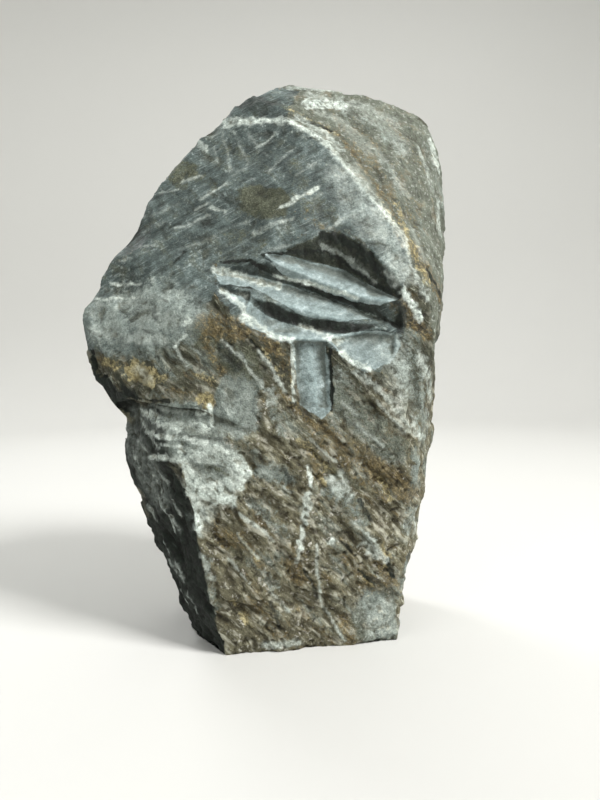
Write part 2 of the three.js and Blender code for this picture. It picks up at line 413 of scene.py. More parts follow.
FACETS: tuple[Facet, ...] = (
    Facet("broad blue face", Tone.BLUE, 1, 5, (
        (76, 318), (88, 350), (130, 354), (180, 338), (200, 312), (216, 292), (216, 264), (262, 250),
        (322, 232), (345, 232), (372, 250), (402, 288), (410, 262), (404, 240), (378, 207), (336, 156),
        (304, 129), (286, 121), (300, 92), (270, 84), (225, 108), (185, 142), (145, 185), (110, 250)
    )),
    Facet("cheek", Tone.CHEEK, 1, 3, (
        (300, 92), (345, 90), (415, 108), (442, 146), (452, 200), (452, 320), (432, 350), (428, 300),
        (412, 262), (404, 240), (378, 207), (336, 156), (304, 129), (286, 121)
    )),
    Facet("upper floor of the cuts", Tone.FRESH, 1, 1.5, (
        (265, 254), (290, 256), (312, 262), (330, 266), (345, 270), (360, 280), (380, 290), (398, 299),
        (380, 305), (352, 301), (335, 295), (320, 288), (300, 281), (282, 275)
    )),
    Facet("middle floor of the cuts", Tone.FRESH, 1, 1.5, (
        (213, 270), (235, 273), (260, 277), (285, 284), (310, 293), (340, 304), (356, 311), (376, 319),
        (340, 321), (310, 318), (295, 312), (285, 305), (250, 286), (220, 284)
    )),
    Facet("lower floor of the cuts", Tone.FRESH, 1, 2, (
        (220, 290), (240, 296), (254, 305), (265, 315), (280, 322), (300, 327), (320, 332), (345, 335),
        (390, 332), (385, 338), (345, 340), (290, 341), (262, 333), (245, 325), (245, 310), (232, 303)
    )),
    Facet("stem", Tone.FRESH, 0.72, 1.5, (
        (291, 338), (327, 337), (331, 410), (322, 421), (300, 405)
    )),
    Facet("bay beside the stem", Tone.FRESH, 1, 3, (
        (325, 340), (337, 334), (350, 332), (395, 332), (402, 345), (395, 360), (375, 370), (365, 370),
        (342, 355)
    )),
    # Painted shade on the roof of the pocket, which faces down under the upper lip.
    Facet("roof of the pocket", Tone.DARK, 0.5, 2, (
        (285, 249), (312, 240), (322, 232), (340, 233), (356, 240), (370, 250), (382, 265), (392, 278),
        (402, 287), (404, 296), (395, 298), (380, 290), (360, 280), (345, 270), (330, 266), (312, 262),
        (290, 256)
    )),
    Facet("shade between the floors", Tone.DARK, 0.7, 2, (
        (254, 300), (275, 303), (290, 312), (310, 319), (345, 322), (385, 324), (362, 331), (345, 335),
        (320, 332), (300, 327), (280, 322), (265, 315)
    )),
    Facet("film on the blue face", Tone.FILM, 0.95, 2.5, (
        (238, 190), (258, 184), (282, 188), (292, 200), (285, 216), (262, 222), (245, 212)
    )),
    Facet("film near the upper edge", Tone.FILM, 0.7, 2, (
        (166, 170), (180, 160), (200, 165), (196, 178), (172, 184)
    )),
    # The left lobe is lighter grey: partly its own paler tone, partly painted light where the face is
    # brighter low on the left.
    Facet("left lobe of the blue face", Tone.GREY, 0.75, 4, (
        (100, 300), (160, 280), (205, 300), (215, 330), (190, 345), (160, 352), (110, 350), (92, 335)
    )),
    Facet("bruise", Tone.GREY, 0.85, 4, (
        (128, 410), (160, 402), (216, 404), (222, 440), (250, 462), (246, 480), (232, 492), (190, 500),
        (184, 462), (150, 462), (138, 440)
    )),
    Facet("bruise, powdered low", Tone.PALE, 0.6, 9, (
        (184, 463), (200, 476), (218, 480), (233, 482), (237, 490), (222, 505), (210, 514), (203, 530),
        (195, 530), (191, 500), (186, 480)
    )),
    Facet("bruise, powdered high", Tone.PALE, 0.55, 5, (
        (186, 452), (214, 446), (234, 454), (248, 466), (246, 478), (232, 478), (222, 462), (200, 458)
    )),
    Facet("smooth patch", Tone.GREY, 0.95, 3, (
        (215, 392), (224, 376), (246, 372), (258, 390), (256, 418), (246, 434), (226, 434), (214, 420)
    )),
    Facet("foot corner", Tone.CHEEK, 0.9, 4, (
        (358, 600), (372, 588), (396, 592), (398, 642), (362, 644), (352, 620)
    )),
    Facet("foot corner, powdered", Tone.PALE, 0.4, 4, (
        (364, 604), (394, 598), (396, 636), (368, 640)
    )),
    Facet("ground of the cuts", Tone.BLUE, 1, 3, (
        (216, 262), (262, 248), (322, 230), (345, 230), (374, 250), (404, 286), (408, 318), (400, 345),
        (380, 372), (362, 372), (342, 352), (300, 345), (262, 338), (240, 322), (216, 296)
    )),
    # Painted shade on the walls of the cuts that face down.
    Facet("walls of the cuts", Tone.DARK, 1, 3, (
        (214, 260), (236, 258), (265, 262), (290, 264), (312, 270), (345, 280), (380, 296), (406, 298),
        (410, 318), (402, 330), (350, 338), (300, 338), (262, 336), (240, 320), (214, 298)
    ), under=True),
    # Painted shade in the pocket, in the olive film's colour.
    Facet("pocket", Tone.FILM, 0.9, 2, (
        (285, 249), (312, 240), (322, 232), (340, 233), (356, 240), (370, 250), (382, 265), (392, 278),
        (402, 287), (404, 296), (395, 298), (380, 290), (360, 280), (345, 270), (330, 266), (312, 262),
        (290, 256)
    )),
    Facet("broad blue back", Tone.BLUE, 1, 2.5, (
        (-110, 124), (-60, 131), (-20, 141), (20, 190), (60, 239), (38, 275), (0, 292), (-110, 260)
    ), Side.BACK),
    Facet("grey back corner", Tone.GREY, 0.8, 2.5, (
        (20, -20), (4, 38), (18, 78), (40, 116), (75, 124), (110, 100), (110, -20)
    ), Side.BACK),
    Facet("cheek's back", Tone.CHEEK, 0.9, 3, (
        (38, 275), (60, 239), (70, 205), (110, 190), (110, 300), (30, 300)
    ), Side.BACK),
)

STREAKS: tuple[Streaks, ...] = (
    Streaks("blue face", Tone.GREY, (
        # The next two strokes lighten the left lobe: partly its paler tone, partly painted light.
        Line(44, 0.8, ((112, 322), (150, 315))),
        Line(24, 0.45, ((130, 290), (165, 285))),
        Line(16, 0.4, ((205, 130), (235, 128))),
    )),
    Streaks("blue face", Tone.FILM, (
        Line(12, 0.7, ((168, 172), (182, 185))),
        Line(10, 0.4, ((300, 160), (300, 172))),
        Line(8, 0.55, ((308, 205), (314, 214))),
        Line(30, 0.75, ((250, 200), (262, 205))),
        Line(12, 0.5, ((232, 232), (262, 240))),
        Line(16, 0.45, ((292, 165), (300, 185))),
        Line(16, 0.35, ((300, 205), (330, 215))),
        Line(34, 0.6, ((205, 330), (250, 368))),
        Line(12, 0.45, ((226, 150), (246, 158), (262, 166))),
        Line(9, 0.5, ((176, 172), (200, 176), (214, 186))),
        Line(8, 0.45, ((286, 196), (306, 202))),
        Line(9, 0.35, ((310, 196), (334, 210))),
    )),
    Streaks("blue face", Tone.RUST, (
        Line(11, 0.3, ((296, 212), (318, 226), (338, 236))),
    )),
    Streaks("blue face", Tone.CHEEK, (
        Line(5, 0.5, ((120, 262), (132, 250))),
        Line(6, 0.3, ((322, 150), (346, 190))),
    )),
    Streaks("blue face", Tone.DARK, (
        Line(3, 0.6, ((250, 340), (262, 352)), -0.6),
        Line(2.5, 0.6, ((163, 300), (167, 302)), -0.3),
        Line(2.5, 0.6, ((152, 315), (156, 318)), -0.3),
        Line(3, 0.6, ((142, 328), (149, 333)), -0.3),
        Line(2.5, 0.5, ((88, 330), (100, 337)), -0.3),
        Line(3, 0.6, ((174, 262), (180, 256), (186, 252)), -0.4),
        Line(3, 0.5, ((170, 228), (180, 222)), -0.3),
        Line(5, 0.45, ((222, 196), (230, 204)), -0.2),
        Line(2, 0.35, ((150, 236), (176, 226))),
        Line(2.4, 0.4, ((180, 216), (204, 206))),
        Line(4, 0.4, ((214, 196), (232, 190))),
        Line(2, 0.35, ((130, 270), (150, 264))),
        Line(5, 0.35, ((260, 160), (272, 154))),
        Line(4, 0.4, ((248, 148), (258, 142))),
        Line(4, 0.3, ((262, 172), (284, 164))),
        Line(7, 0.4, ((228, 196), (240, 204))),
        Line(5, 0.35, ((158, 196), (176, 192))),
        Line(5, 0.3, ((172, 206), (196, 196))),
        Line(6, 0.28, ((146, 246), (166, 256))),
        Line(2, 0.25, ((228, 136), (234, 160))),
    )),
    Streaks("blue face", Tone.PALE, (
        Line(7, 0.5, ((228, 125), (250, 121), (272, 121), (290, 122), (304, 129), (322, 141),
              (336, 156), (350, 172), (362, 190), (378, 207), (392, 222), (404, 240)), 0.15),
        Line(3.6, 0.8, ((240, 122), (262, 120), (290, 122), (304, 129), (318, 139)), 0.09),
        Line(3.4, 0.8, ((280, 207), (318, 188)), -0.3),
        Line(3, 0.45, ((328, 228), (350, 217), (364, 211)), -0.2),
        Line(5, 0.35, ((253, 231), (270, 227)), -0.1),
        Line(3, 0.4, ((268, 228), (294, 218)), -0.1),
        Line(2, 0.45, ((257, 147), (267, 141), (273, 132)), -0.1),
        Line(2, 0.3, ((268, 172), (292, 150)), -0.1),
        Line(3.4, 0.55, ((212, 208), (226, 211))),
        Line(2, 0.4, ((196, 209), (211, 203))),
        Line(3, 0.4, ((183, 181), (200, 175))),
        Line(2.2, 0.65, ((111, 284), (140, 283)), -0.2),
        Line(2.4, 0.7, ((95, 299), (142, 296)), -0.2),
        Line(2.4, 0.35, ((140, 248), (156, 247)), -0.1),
        Line(2, 0.35, ((155, 194), (178, 189))),
        Line(2, 0.5, ((201, 199), (226, 184)), -0.1),
        Line(2, 0.4, ((173, 229), (185, 226), (212, 214)), -0.1),
        Line(6, 0.9, ((186, 323), (190, 321))),
        Line(3, 0.8, ((187, 335), (174, 347)), 0.06),
        Line(34, 0.3, ((345, 175), (375, 225))),
        Line(9, 0.5, ((226, 124), (244, 121)), 0.06),
        Line(6, 0.4, ((196, 142), (206, 150))),
        Line(4, 0.4, ((170, 163), (178, 160))),
        Line(1.6, 0.2, ((96, 288), (130, 290))),
        Line(1.6, 0.2, ((120, 262), (150, 252))),
        Line(1.6, 0.2, ((140, 232), (166, 222))),
        Line(1.6, 0.2, ((150, 216), (176, 204))),
        Line(1.6, 0.2, ((180, 250), (214, 236))),
        Line(1.6, 0.2, ((200, 160), (224, 148))),
        Line(1.6, 0.2, ((232, 176), (256, 162))),
        Line(1.8, 0.2, ((296, 176), (320, 160))),
        Line(1.6, 0.2, ((310, 200), (336, 186))),
        Line(1.6, 0.2, ((220, 232), (246, 222))),
        Line(42, 0.2, ((100, 318), (140, 312), (182, 310))),
        Line(12, 0.3, ((98, 330), (130, 338), (160, 340))),
        Line(3, 0.25, ((268, 248), (292, 245))),
        Line(1.8, 0.26, ((222, 131), (227, 150), (231, 172))),
        Line(1.8, 0.24, ((234, 130), (242, 150), (248, 166))),
        Line(1.6, 0.2, ((244, 128), (258, 146), (270, 158))),
        Line(1.6, 0.22, ((214, 146), (219, 166))),
    )),
    Streaks("ridge", Tone.RUST, (
        Line(12, 0.7, ((400, 232), (440, 300))),
    )),
    Streaks("ridge", Tone.OCHRE, (
        Line(9, 0.5, ((398, 205), (408, 240), (428, 285))),
        Line(6, 0.35, ((378, 196), (396, 226))),
    )),
    Streaks("ridge", Tone.PALE, (
        Line(3.2, 0.7, ((356, 182), (378, 207), (386, 217)), 0.09),
        Line(5, 0.5, ((404, 240), (412, 262), (418, 282), (428, 300)), 0.09),
    )),
    Streaks("shoulder", Tone.GREY, (
        Line(16, 0.45, ((346, 112), (376, 128), (402, 150))),
        Line(14, 0.4, ((384, 160), (404, 196), (420, 232))),
        Line(8, 0.4, ((424, 140), (438, 180), (444, 220))),
    )),
    Streaks("shoulder", Tone.FILM, (
        Line(6, 0.4, ((300, 100), (330, 112), (360, 140))),
        Line(10, 0.35, ((404, 196), (420, 240), (426, 270))),
        Line(6, 0.4, ((350, 96), (384, 112))),
        Line(9, 0.4, ((384, 124), (400, 140))),
        Line(7, 0.4, ((362, 170), (380, 196))),
        Line(7, 0.35, ((420, 176), (430, 206))),
    )),
    Streaks("shoulder", Tone.RUST, (
        Line(6, 0.6, ((335, 130), (372, 178), (400, 222))),
        Line(7, 0.4, ((364, 146), (388, 186), (404, 222))),
        Line(6, 0.35, ((388, 120), (408, 150))),
        Line(9, 0.4, ((352, 118), (376, 146), (398, 176), (420, 215))),
        Line(6, 0.35, ((392, 122), (410, 146), (426, 172))),
        Line(7, 0.45, ((330, 112), (352, 140), (372, 170))),
        Line(8, 0.4, ((404, 200), (416, 226), (424, 250))),
    )),
    Streaks("shoulder", Tone.OCHRE, (
        Line(7, 0.4, ((290, 112), (335, 133))),
    )),
    Streaks("shoulder", Tone.DARK, (
        Line(26, 0.5, ((238, 95), (262, 108))),
        Line(4, 0.6, ((428, 270), (440, 300))),
        Line(4, 0.6, ((298, 118), (330, 130)), -0.8),
        Line(4, 0.35, ((414, 180), (420, 196))),
        Line(4, 0.3, ((380, 150), (388, 160))),
        Line(3, 0.35, ((400, 160), (404, 168))),
        Line(4, 0.3, ((352, 104), (362, 106))),
        Line(4, 0.3, ((408, 126), (414, 134))),
        Line(4, 0.25, ((366, 128), (372, 136))),
        Line(5, 0.3, ((428, 214), (432, 226))),
    )),
    # Pale talc on the shoulder, with painted highlights along the cheek's right edge and, in part, near its
    # top.
    Streaks("shoulder", Tone.PALE, (
        Line(11, 0.8, ((307, 104), (340, 104)), 0.12),
        Line(6, 0.4, ((290, 88), (330, 90))),
        # The next two strokes are painted highlights along the cheek's right edge.
        Line(4, 0.6, ((430, 140), (440, 172)), 0.06),
        Line(4, 0.5, ((438, 200), (441, 235)), 0.06),
        Line(7, 0.5, ((300, 118), (322, 133), (340, 150)), 0.06),
        Line(10, 0.35, ((310, 96), (345, 108))),
        Line(14, 0.16, ((362, 112), (384, 126), (404, 150))),
        Line(12, 0.18, ((346, 128), (368, 150))),
        Line(12, 0.24, ((340, 102), (366, 108), (394, 122))),
        Line(7, 0.2, ((376, 150), (392, 172), (408, 196))),
        Line(5, 0.3, ((420, 150), (434, 190))),
        Line(8, 0.25, ((318, 112), (340, 122))),
        Line(6, 0.2, ((412, 230), (424, 262))),
    )),
    Streaks("cuts", Tone.FILM, (
        Line(16, 0.4, ((222, 250), (232, 262))),
    )),
    Streaks("cuts", Tone.RUST, (
        Line(26, 0.7, ((210, 325), (240, 330))),
    )),
    Streaks("cuts", Tone.OCHRE, (
        Line(4, 0.35, ((278, 350), (296, 372))),
    )),
    # Painted shadows under the upper lips of the cuts, at the pocket's end and on the stem's right wall, with
    # one dark crack below the stem.
    Streaks("cuts", Tone.DARK, (
        Line(4, 0.45, ((290, 402), (322, 424)), -0.5),
        Line(4, 0.5, ((325, 340), (331, 405))),
        Line(4, 0.85, ((222, 262), (250, 261), (268, 271), (300, 283), (350, 303), (375, 312), (400, 327))),
        Line(2, 0.6, ((225, 286), (255, 288), (275, 293), (285, 294))),
        Line(9, 0.6, ((395, 300), (403, 312), (400, 328))),
        Line(4, 0.95, ((330, 350), (331, 410)), -0.3),
        Line(8, 1, ((323, 236), (343, 240), (360, 250), (377, 266), (390, 280), (400, 291))),
        Line(5, 0.9, ((327, 250), (345, 262), (365, 277), (390, 293))),
        Line(3.5, 0.85, ((262, 254), (297, 252), (327, 250))),
    )),
    Streaks("cuts", Tone.PALE, (
        Line(9, 0.9, ((244, 317), (250, 322)), 0.06),
        Line(6, 0.8, ((328, 337), (338, 342)), 0.06),
        Line(3.5, 0.9, ((275, 275), (300, 282), (330, 288), (356, 298)), 0.09),
        Line(6, 0.7, ((214, 269), (235, 275), (262, 283), (280, 287))),
        Line(5, 0.6, ((222, 292), (240, 303), (246, 315)), 0.06),
        Line(6, 0.75, ((246, 320), (256, 324), (270, 334), (290, 340)), 0.06),
        Line(3, 0.6, ((293, 340), (294, 400)), 0.09),
        Line(5, 0.95, ((342, 352), (352, 361), (368, 369)), 0.09),
        Line(4, 0.5, ((300, 326), (330, 337), (345, 340))),
        Line(22, 0.42, ((385, 235), (402, 275))),
        Line(4, 0.34, ((322, 245), (343, 256), (362, 270), (376, 283))),
    )),
    Streaks("upper skin", Tone.GREY, (
        Line(22, 0.55, ((395, 355), (420, 400), (425, 430))),
        Line(34, 0.6, ((340, 400), (372, 430), (392, 452))),
        Line(24, 0.45, ((335, 375), (350, 395))),
        Line(14, 0.5, ((270, 395), (282, 430))),
        Line(14, 0.45, ((150, 395), (200, 402))),
        Line(20, 0.45, ((404, 340), (420, 372))),
    )),
    Streaks("upper skin", Tone.FILM, (
        Line(22, 0.6, ((215, 355), (240, 372))),
        Line(34, 0.4, ((345, 400), (370, 425), (398, 450))),
    )),
    Streaks("upper skin", Tone.RUST, (
        Line(14, 0.9, ((135, 372), (152, 374))),
        Line(16, 0.6, ((395, 300), (425, 335))),
        Line(10, 0.6, ((252, 322), (275, 352), (300, 385))),
        Line(6, 0.6, ((268, 330), (296, 370))),
        Line(10, 0.5, ((205, 340), (222, 372))),
        Line(12, 0.45, ((170, 392), (196, 398))),
    )),
    Streaks("upper skin", Tone.OCHRE, (
        Line(15, 0.95, ((133, 372), (142, 374), (152, 376))),
        Line(8, 0.35, ((198, 374), (214, 381))),
        Line(5, 0.4, ((256, 345), (274, 366), (296, 386))),
        Line(14, 1, ((134, 366), (150, 380))),
        Line(6, 0.5, ((150, 384), (168, 376))),
    )),
    Streaks("upper skin", Tone.DARK, (
        Line(14, 0.5, ((225, 345), (235, 368))),
    )),
    Streaks("upper skin", Tone.PALE, (
        Line(3, 0.6, ((174, 347), (187, 365)), 0.06),
        Line(7, 0.85, ((404, 290), (412, 303), (420, 318)), 0.12),
        Line(6, 0.45, ((357, 372), (385, 396), (405, 420), (424, 437)), 0.15),
        Line(3, 0.5, ((258, 350), (275, 372), (285, 392)), 0.12),
        Line(3, 0.45, ((222, 340), (240, 356), (262, 385)), 0.09),
        Line(5, 0.5, ((268, 404), (277, 398))),
        Line(26, 0.24, ((392, 350), (405, 420))),
        Line(8, 0.35, ((420, 355), (432, 400))),
        Line(8, 0.28, ((138, 370), (152, 378))),
        # Painted light: a faint pale wash that lifts the ochre spot where its slope turns it from the lamp.
        Line(10, 0.15, ((136, 368), (150, 380))),
        Line(4, 0.35, ((344, 404), (356, 414))),
        Line(3, 0.4, ((372, 398), (398, 424), (420, 438))),
    )),
    Streaks("bruise", Tone.GREY, (
        Line(34, 0.95, ((238, 385), (240, 422)), -0.4),
        Line(22, 0.8, ((222, 428), (250, 380))),
    )),
    Streaks("bruise", Tone.FILM, (
        Line(6, 0.6, ((206, 466), (222, 472), (234, 478))),
        Line(16, 0.4, ((225, 520), (240, 560))),
        Line(6, 0.5, ((186, 430), (214, 436))),
    )),
    Streaks("bruise", Tone.RUST, (
        Line(16, 0.7, ((205, 400), (208, 400))),
        Line(16, 0.6, ((225, 535), (245, 545))),
        Line(12, 0.5, ((215, 520), (226, 545))),
    )),
    Streaks("bruise", Tone.OCHRE, (
        Line(15, 0.8, ((203, 398), (210, 402))),
    )),
    Streaks("bruise", Tone.DARK, (
        Line(3.5, 0.45, ((170, 435), (205, 438), (240, 441)), -0.5),
        Line(4, 0.7, ((152, 402), (168, 402)), -0.5),
        Line(3, 0.4, ((212, 464), (228, 468))),
    )),
    Streaks("bruise", Tone.PALE, (
        Line(13, 0.95, ((190, 492), (212, 494), (232, 500)), 0.06),
        Line(10, 0.9, ((184, 466), (196, 480), (205, 492)), 0.06),
        Line(8, 0.8, ((236, 460), (249, 474), (240, 486)), 0.06),
        Line(7, 0.7, ((212, 484), (232, 480))),
        Line(7, 0.95, ((190, 470), (194, 500), (198, 530)), 0.09),
        Line(5, 0.75, ((215, 447), (235, 454), (250, 470), (240, 478)), 0.09),
        Line(9, 0.75, ((152, 414), (180, 427)), 0.06),
        Line(6, 0.6, ((150, 457), (190, 459), (215, 462)), 0.06),
        Line(5, 0.6, ((180, 450), (212, 453)), 0.06),
        Line(4, 0.95, ((210, 405), (211, 425)), 0.12),
        Line(4, 0.9, ((197, 414), (206, 413)), 0.12),
        Line(5, 0.9, ((198, 427), (207, 429)), 0.12),
        Line(8, 0.7, ((142, 412), (156, 420), (176, 424)), 0.06),
        Line(4, 0.4, ((150, 404), (170, 410), (188, 412))),
        Line(5, 0.6, ((146, 432), (176, 437), (206, 444))),
        Line(3, 0.5, ((160, 444), (190, 449))),
        Line(3, 0.5, ((196, 432), (210, 434))),
        Line(16, 0.28, ((196, 478), (206, 490), (222, 484))),
        Line(2, 0.4, ((222, 404), (232, 418))),
        Line(28, 0.2, ((236, 392), (240, 424))),
        # Painted light: a faint pale wash that lifts the pale band above the bruise.
        Line(26, 0.12, ((142, 418), (176, 424), (212, 436))),
        Line(4, 0.7, ((196, 423), (206, 427))),
        Line(10, 0.95, ((190, 494), (210, 498), (224, 500))),
        Line(7, 0.9, ((186, 470), (194, 484), (198, 510))),
        Line(7, 0.85, ((236, 464), (247, 474))),
        Line(3, 0.4, ((196, 404), (200, 424))),
    )),
    Streaks("flank", Tone.GREY, (
        Line(20, 0.7, ((108, 350), (150, 350))),
        Line(8, 0.6, ((150, 500), (158, 530), (168, 560))),
        Line(5, 0.7, ((128, 432), (138, 462), (152, 492), (168, 520))),
        Line(4, 0.6, ((140, 436), (156, 470), (172, 500))),
        Line(4, 0.5, ((150, 520), (170, 562), (186, 600), (196, 625))),
    )),
    Streaks("flank", Tone.RUST, (
        Line(12, 0.6, ((100, 362), (116, 366))),
    )),
    Streaks("flank", Tone.OCHRE, (
        Line(10, 0.7, ((103, 362), (116, 366))),
    )),
    # Painted shade on the left flank and under the left shoulder, over the stone's own dark rock.
    Streaks("flank", Tone.DARK, (
        Line(30, 1, ((152, 470), (170, 520), (190, 580), (207, 645))),
        Line(18, 1, ((98, 382), (118, 398), (132, 408))),
        Line(16, 0.8, ((130, 430), (133, 460))),
        Line(5, 0.7, ((92, 352), (97, 380))),
        Line(8, 0.9, ((104, 378), (124, 402))),
        Line(8, 0.6, ((152, 455), (175, 466), (180, 480))),
    )),
    Streaks("flank", Tone.PALE, (
        Line(4, 0.45, ((140, 420), (150, 435), (158, 447)), 0.06),
        Line(2.5, 0.42, ((157, 497), (166, 508))),
        Line(2.5, 0.4, ((170, 516), (180, 530))),
        Line(2.5, 0.34, ((148, 505), (156, 520))),
        Line(2.5, 0.5, ((182, 592), (188, 602))),
        Line(2, 0.4, ((172, 560), (178, 572))),
        Line(1.8, 0.5, ((150, 476), (160, 494))),
        Line(1.8, 0.4, ((132, 448), (142, 474))),
        Line(1.8, 0.42, ((160, 500), (170, 520), (176, 532))),
        Line(1.6, 0.4, ((172, 500), (180, 516))),
        Line(1.6, 0.5, ((178, 560), (186, 580))),
        Line(1.8, 0.5, ((190, 590), (198, 612))),
        Line(1.6, 0.5, ((166, 540), (172, 552))),
        Line(2, 0.35, ((150, 466), (166, 486))),
        Line(1.6, 0.4, ((138, 440), (150, 462), (156, 476))),
        Line(28, 0.16, ((130, 436), (144, 466), (158, 496))),
    )),
    Streaks("lower skin", Tone.GREY, (
        Line(16, 0.8, ((262, 472), (288, 478))),
        Line(11, 0.7, ((414, 452), (416, 476), (412, 500))),
        Line(12, 0.55, ((411, 508), (408, 530))),
        Line(10, 0.6, ((406, 556), (404, 592))),
        Line(26, 0.75, ((372, 600), (385, 632))),
        Line(24, 0.55, ((335, 488), (352, 510))),
        Line(18, 0.5, ((240, 450), (290, 478))),
        Line(14, 0.5, ((262, 505), (285, 535))),
        Line(12, 0.4, ((250, 560), (275, 585))),
        Line(16, 0.5, ((355, 525), (372, 548))),
        Line(12, 0.5, ((205, 560), (216, 610))),
        Line(12, 0.5, ((250, 500), (272, 516))),
    )),
    Streaks("lower skin", Tone.FILM, (
        Line(12, 0.55, ((330, 470), (378, 492))),
    )),
    Streaks("lower skin", Tone.RUST, (
        Line(22, 0.9, ((375, 470), (410, 495))),
        Line(14, 0.7, ((322, 425), (346, 452))),
        Line(18, 0.5, ((385, 565), (392, 585))),
        Line(18, 0.6, ((290, 560), (300, 580))),
        Line(12, 0.7, ((345, 620), (350, 640))),
        Line(6, 0.8, ((326, 432), (356, 457), (382, 478)), -0.5),
        Line(6, 0.7, ((240, 535), (262, 570))),
        Line(10, 0.6, ((310, 455), (322, 480))),
        Line(10, 0.5, ((312, 440), (350, 470), (385, 500))),
        Line(10, 0.6, ((345, 555), (372, 590))),
        Line(12, 0.45, ((250, 600), (285, 640))),
        Line(10, 0.45, ((300, 610), (330, 640))),
        Line(9, 0.6, ((296, 408), (330, 440), (372, 478), (400, 492))),
        Line(9, 0.5, ((352, 556), (380, 590))),
        Line(12, 0.5, ((348, 436), (380, 462), (408, 480))),
    )),
    Streaks("lower skin", Tone.OCHRE, (
        Line(3.5, 0.9, ((240, 536), (250, 550), (258, 562))),
        Line(5, 0.7, ((318, 476), (326, 486))),
        Line(6, 0.6, ((380, 478), (392, 500))),
        Line(8, 0.45, ((300, 440), (330, 470))),
        Line(8, 0.6, ((382, 545), (390, 570))),
        Line(7, 0.5, ((232, 600), (250, 625))),
        Line(5, 0.55, ((352, 560), (372, 585))),
        Line(30, 0.15, ((365, 605), (390, 630))),
    )),
    Streaks("lower skin", Tone.CHEEK, (
        Line(16, 0.6, ((330, 490), (352, 500), (366, 520))),
    )),
    Streaks("lower skin", Tone.DARK, (
        Line(5, 0.35, ((376, 472), (398, 486)), -0.3),
        Line(3.5, 0.6, ((342, 541), (356, 556)), -0.6),
        Line(4, 0.6, ((358, 570), (374, 584)), -0.6),
        Line(4, 0.5, ((270, 600), (280, 630)), -0.6),
        Line(4, 0.5, ((305, 570), (318, 600)), -0.6),
        Line(5, 0.5, ((360, 500), (372, 520)), -0.5),
        Line(5, 0.5, ((283, 470), (290, 478))),
        Line(6, 0.6, ((388, 560), (392, 574)), -0.4),
        Line(5, 0.35, ((350, 560), (372, 578), (392, 592)), -0.3),
        Line(4, 0.4, ((338, 448), (352, 456)), -0.3),
    )),
    Streaks("lower skin", Tone.PALE, (
        Line(8, 0.75, ((306, 496), (308, 509)), 0.1),
        Line(6, 0.8, ((304, 512), (306, 522))),
        Line(6, 0.7, ((302, 526), (303, 536))),
        Line(5, 0.7, ((299, 541), (300, 548))),
        Line(4, 0.5, ((298, 548), (297, 562))),
        Line(4, 0.8, ((308, 468), (310, 485)), 0.12),
        Line(2.6, 0.6, ((317, 545), (319, 590), (325, 612), (346, 640)), 0.09),
        Line(5, 0.9, ((332, 540), (332, 543)), 0.09),
        Line(3, 0.5, ((240, 513), (275, 541)), 0.09),
        Line(3, 0.55, ((238, 535), (258, 560)), 0.09),
        Line(7, 0.5, ((265, 645), (298, 642)), 0.06),
        Line(6, 0.5, ((375, 545), (385, 560)), 0.06),
        Line(6, 0.4, ((340, 470), (350, 500)), 0.06),
        Line(5, 0.4, ((200, 555), (215, 580)), 0.06),
        Line(8, 0.4, ((330, 480), (340, 495)), 0.06),
        Line(3, 0.3, ((414, 508), (415, 530))),
        Line(2.6, 0.45, ((310, 440), (336, 462))),
        Line(2.4, 0.4, ((352, 420), (384, 448))),
        Line(2.4, 0.4, ((262, 470), (290, 492))),
        Line(2.2, 0.45, ((228, 560), (250, 584))),
        Line(2.2, 0.45, ((352, 520), (372, 540))),
        Line(2.2, 0.4, ((270, 590), (290, 612))),
        Line(7, 0.4, ((340, 488), (352, 494))),
        Line(7, 0.5, ((366, 545), (374, 556))),
        Line(30, 0.12, ((365, 605), (390, 630))),
        Line(9, 0.35, ((380, 600), (392, 636))),
    )),
    Streaks("back", Tone.FILM, (
        Line(26, 0.8, ((-30, 200), (0, 222), (22, 244))),
        Line(18, 0.7, ((-70, 170), (-48, 160))),
    ), Side.BACK),
    Streaks("back", Tone.RUST, (
        Line(8, 0.6, ((66, 236), (44, 208), (22, 180), (0, 152))),
        Line(7, 0.6, ((-20, 139), (-45, 132), (-68, 128))),
        Line(12, 0.6, ((-10, 110), (20, 86))),
    ), Side.BACK),
    Streaks("back", Tone.OCHRE, (
        Line(10, 0.5, ((52, 190), (66, 160))),
        Line(8, 0.5, ((-44, 40), (-20, 18))),
    ), Side.BACK),
    Streaks("back", Tone.DARK, (
        Line(3, 0.5, ((-24, 82), (-12, 70), (8, 50)), -0.7),
        Line(3, 0.45, ((34, 147), (48, 132)), -0.6),
    ), Side.BACK),
    Streaks("back", Tone.PALE, (
        Line(5, 0.28, ((60, 239), (44, 221), (20, 190), (4, 168), (-20, 141)), 0.2),
        Line(2.4, 0.4, ((48, 226), (34, 206))),
        Line(2.2, 0.35, ((12, 178), (-6, 156))),
        Line(1.8, 0.3, ((-52, 214), (-28, 205)), -0.1),
        Line(1.6, 0.25, ((-34, 184), (-12, 178)), -0.1),
        Line(9, 0.4, ((-30, 66), (-16, 58)), 0.1),
        Line(4, 0.3, ((30, 100), (18, 74)), 0.1),
    ), Side.BACK),
)


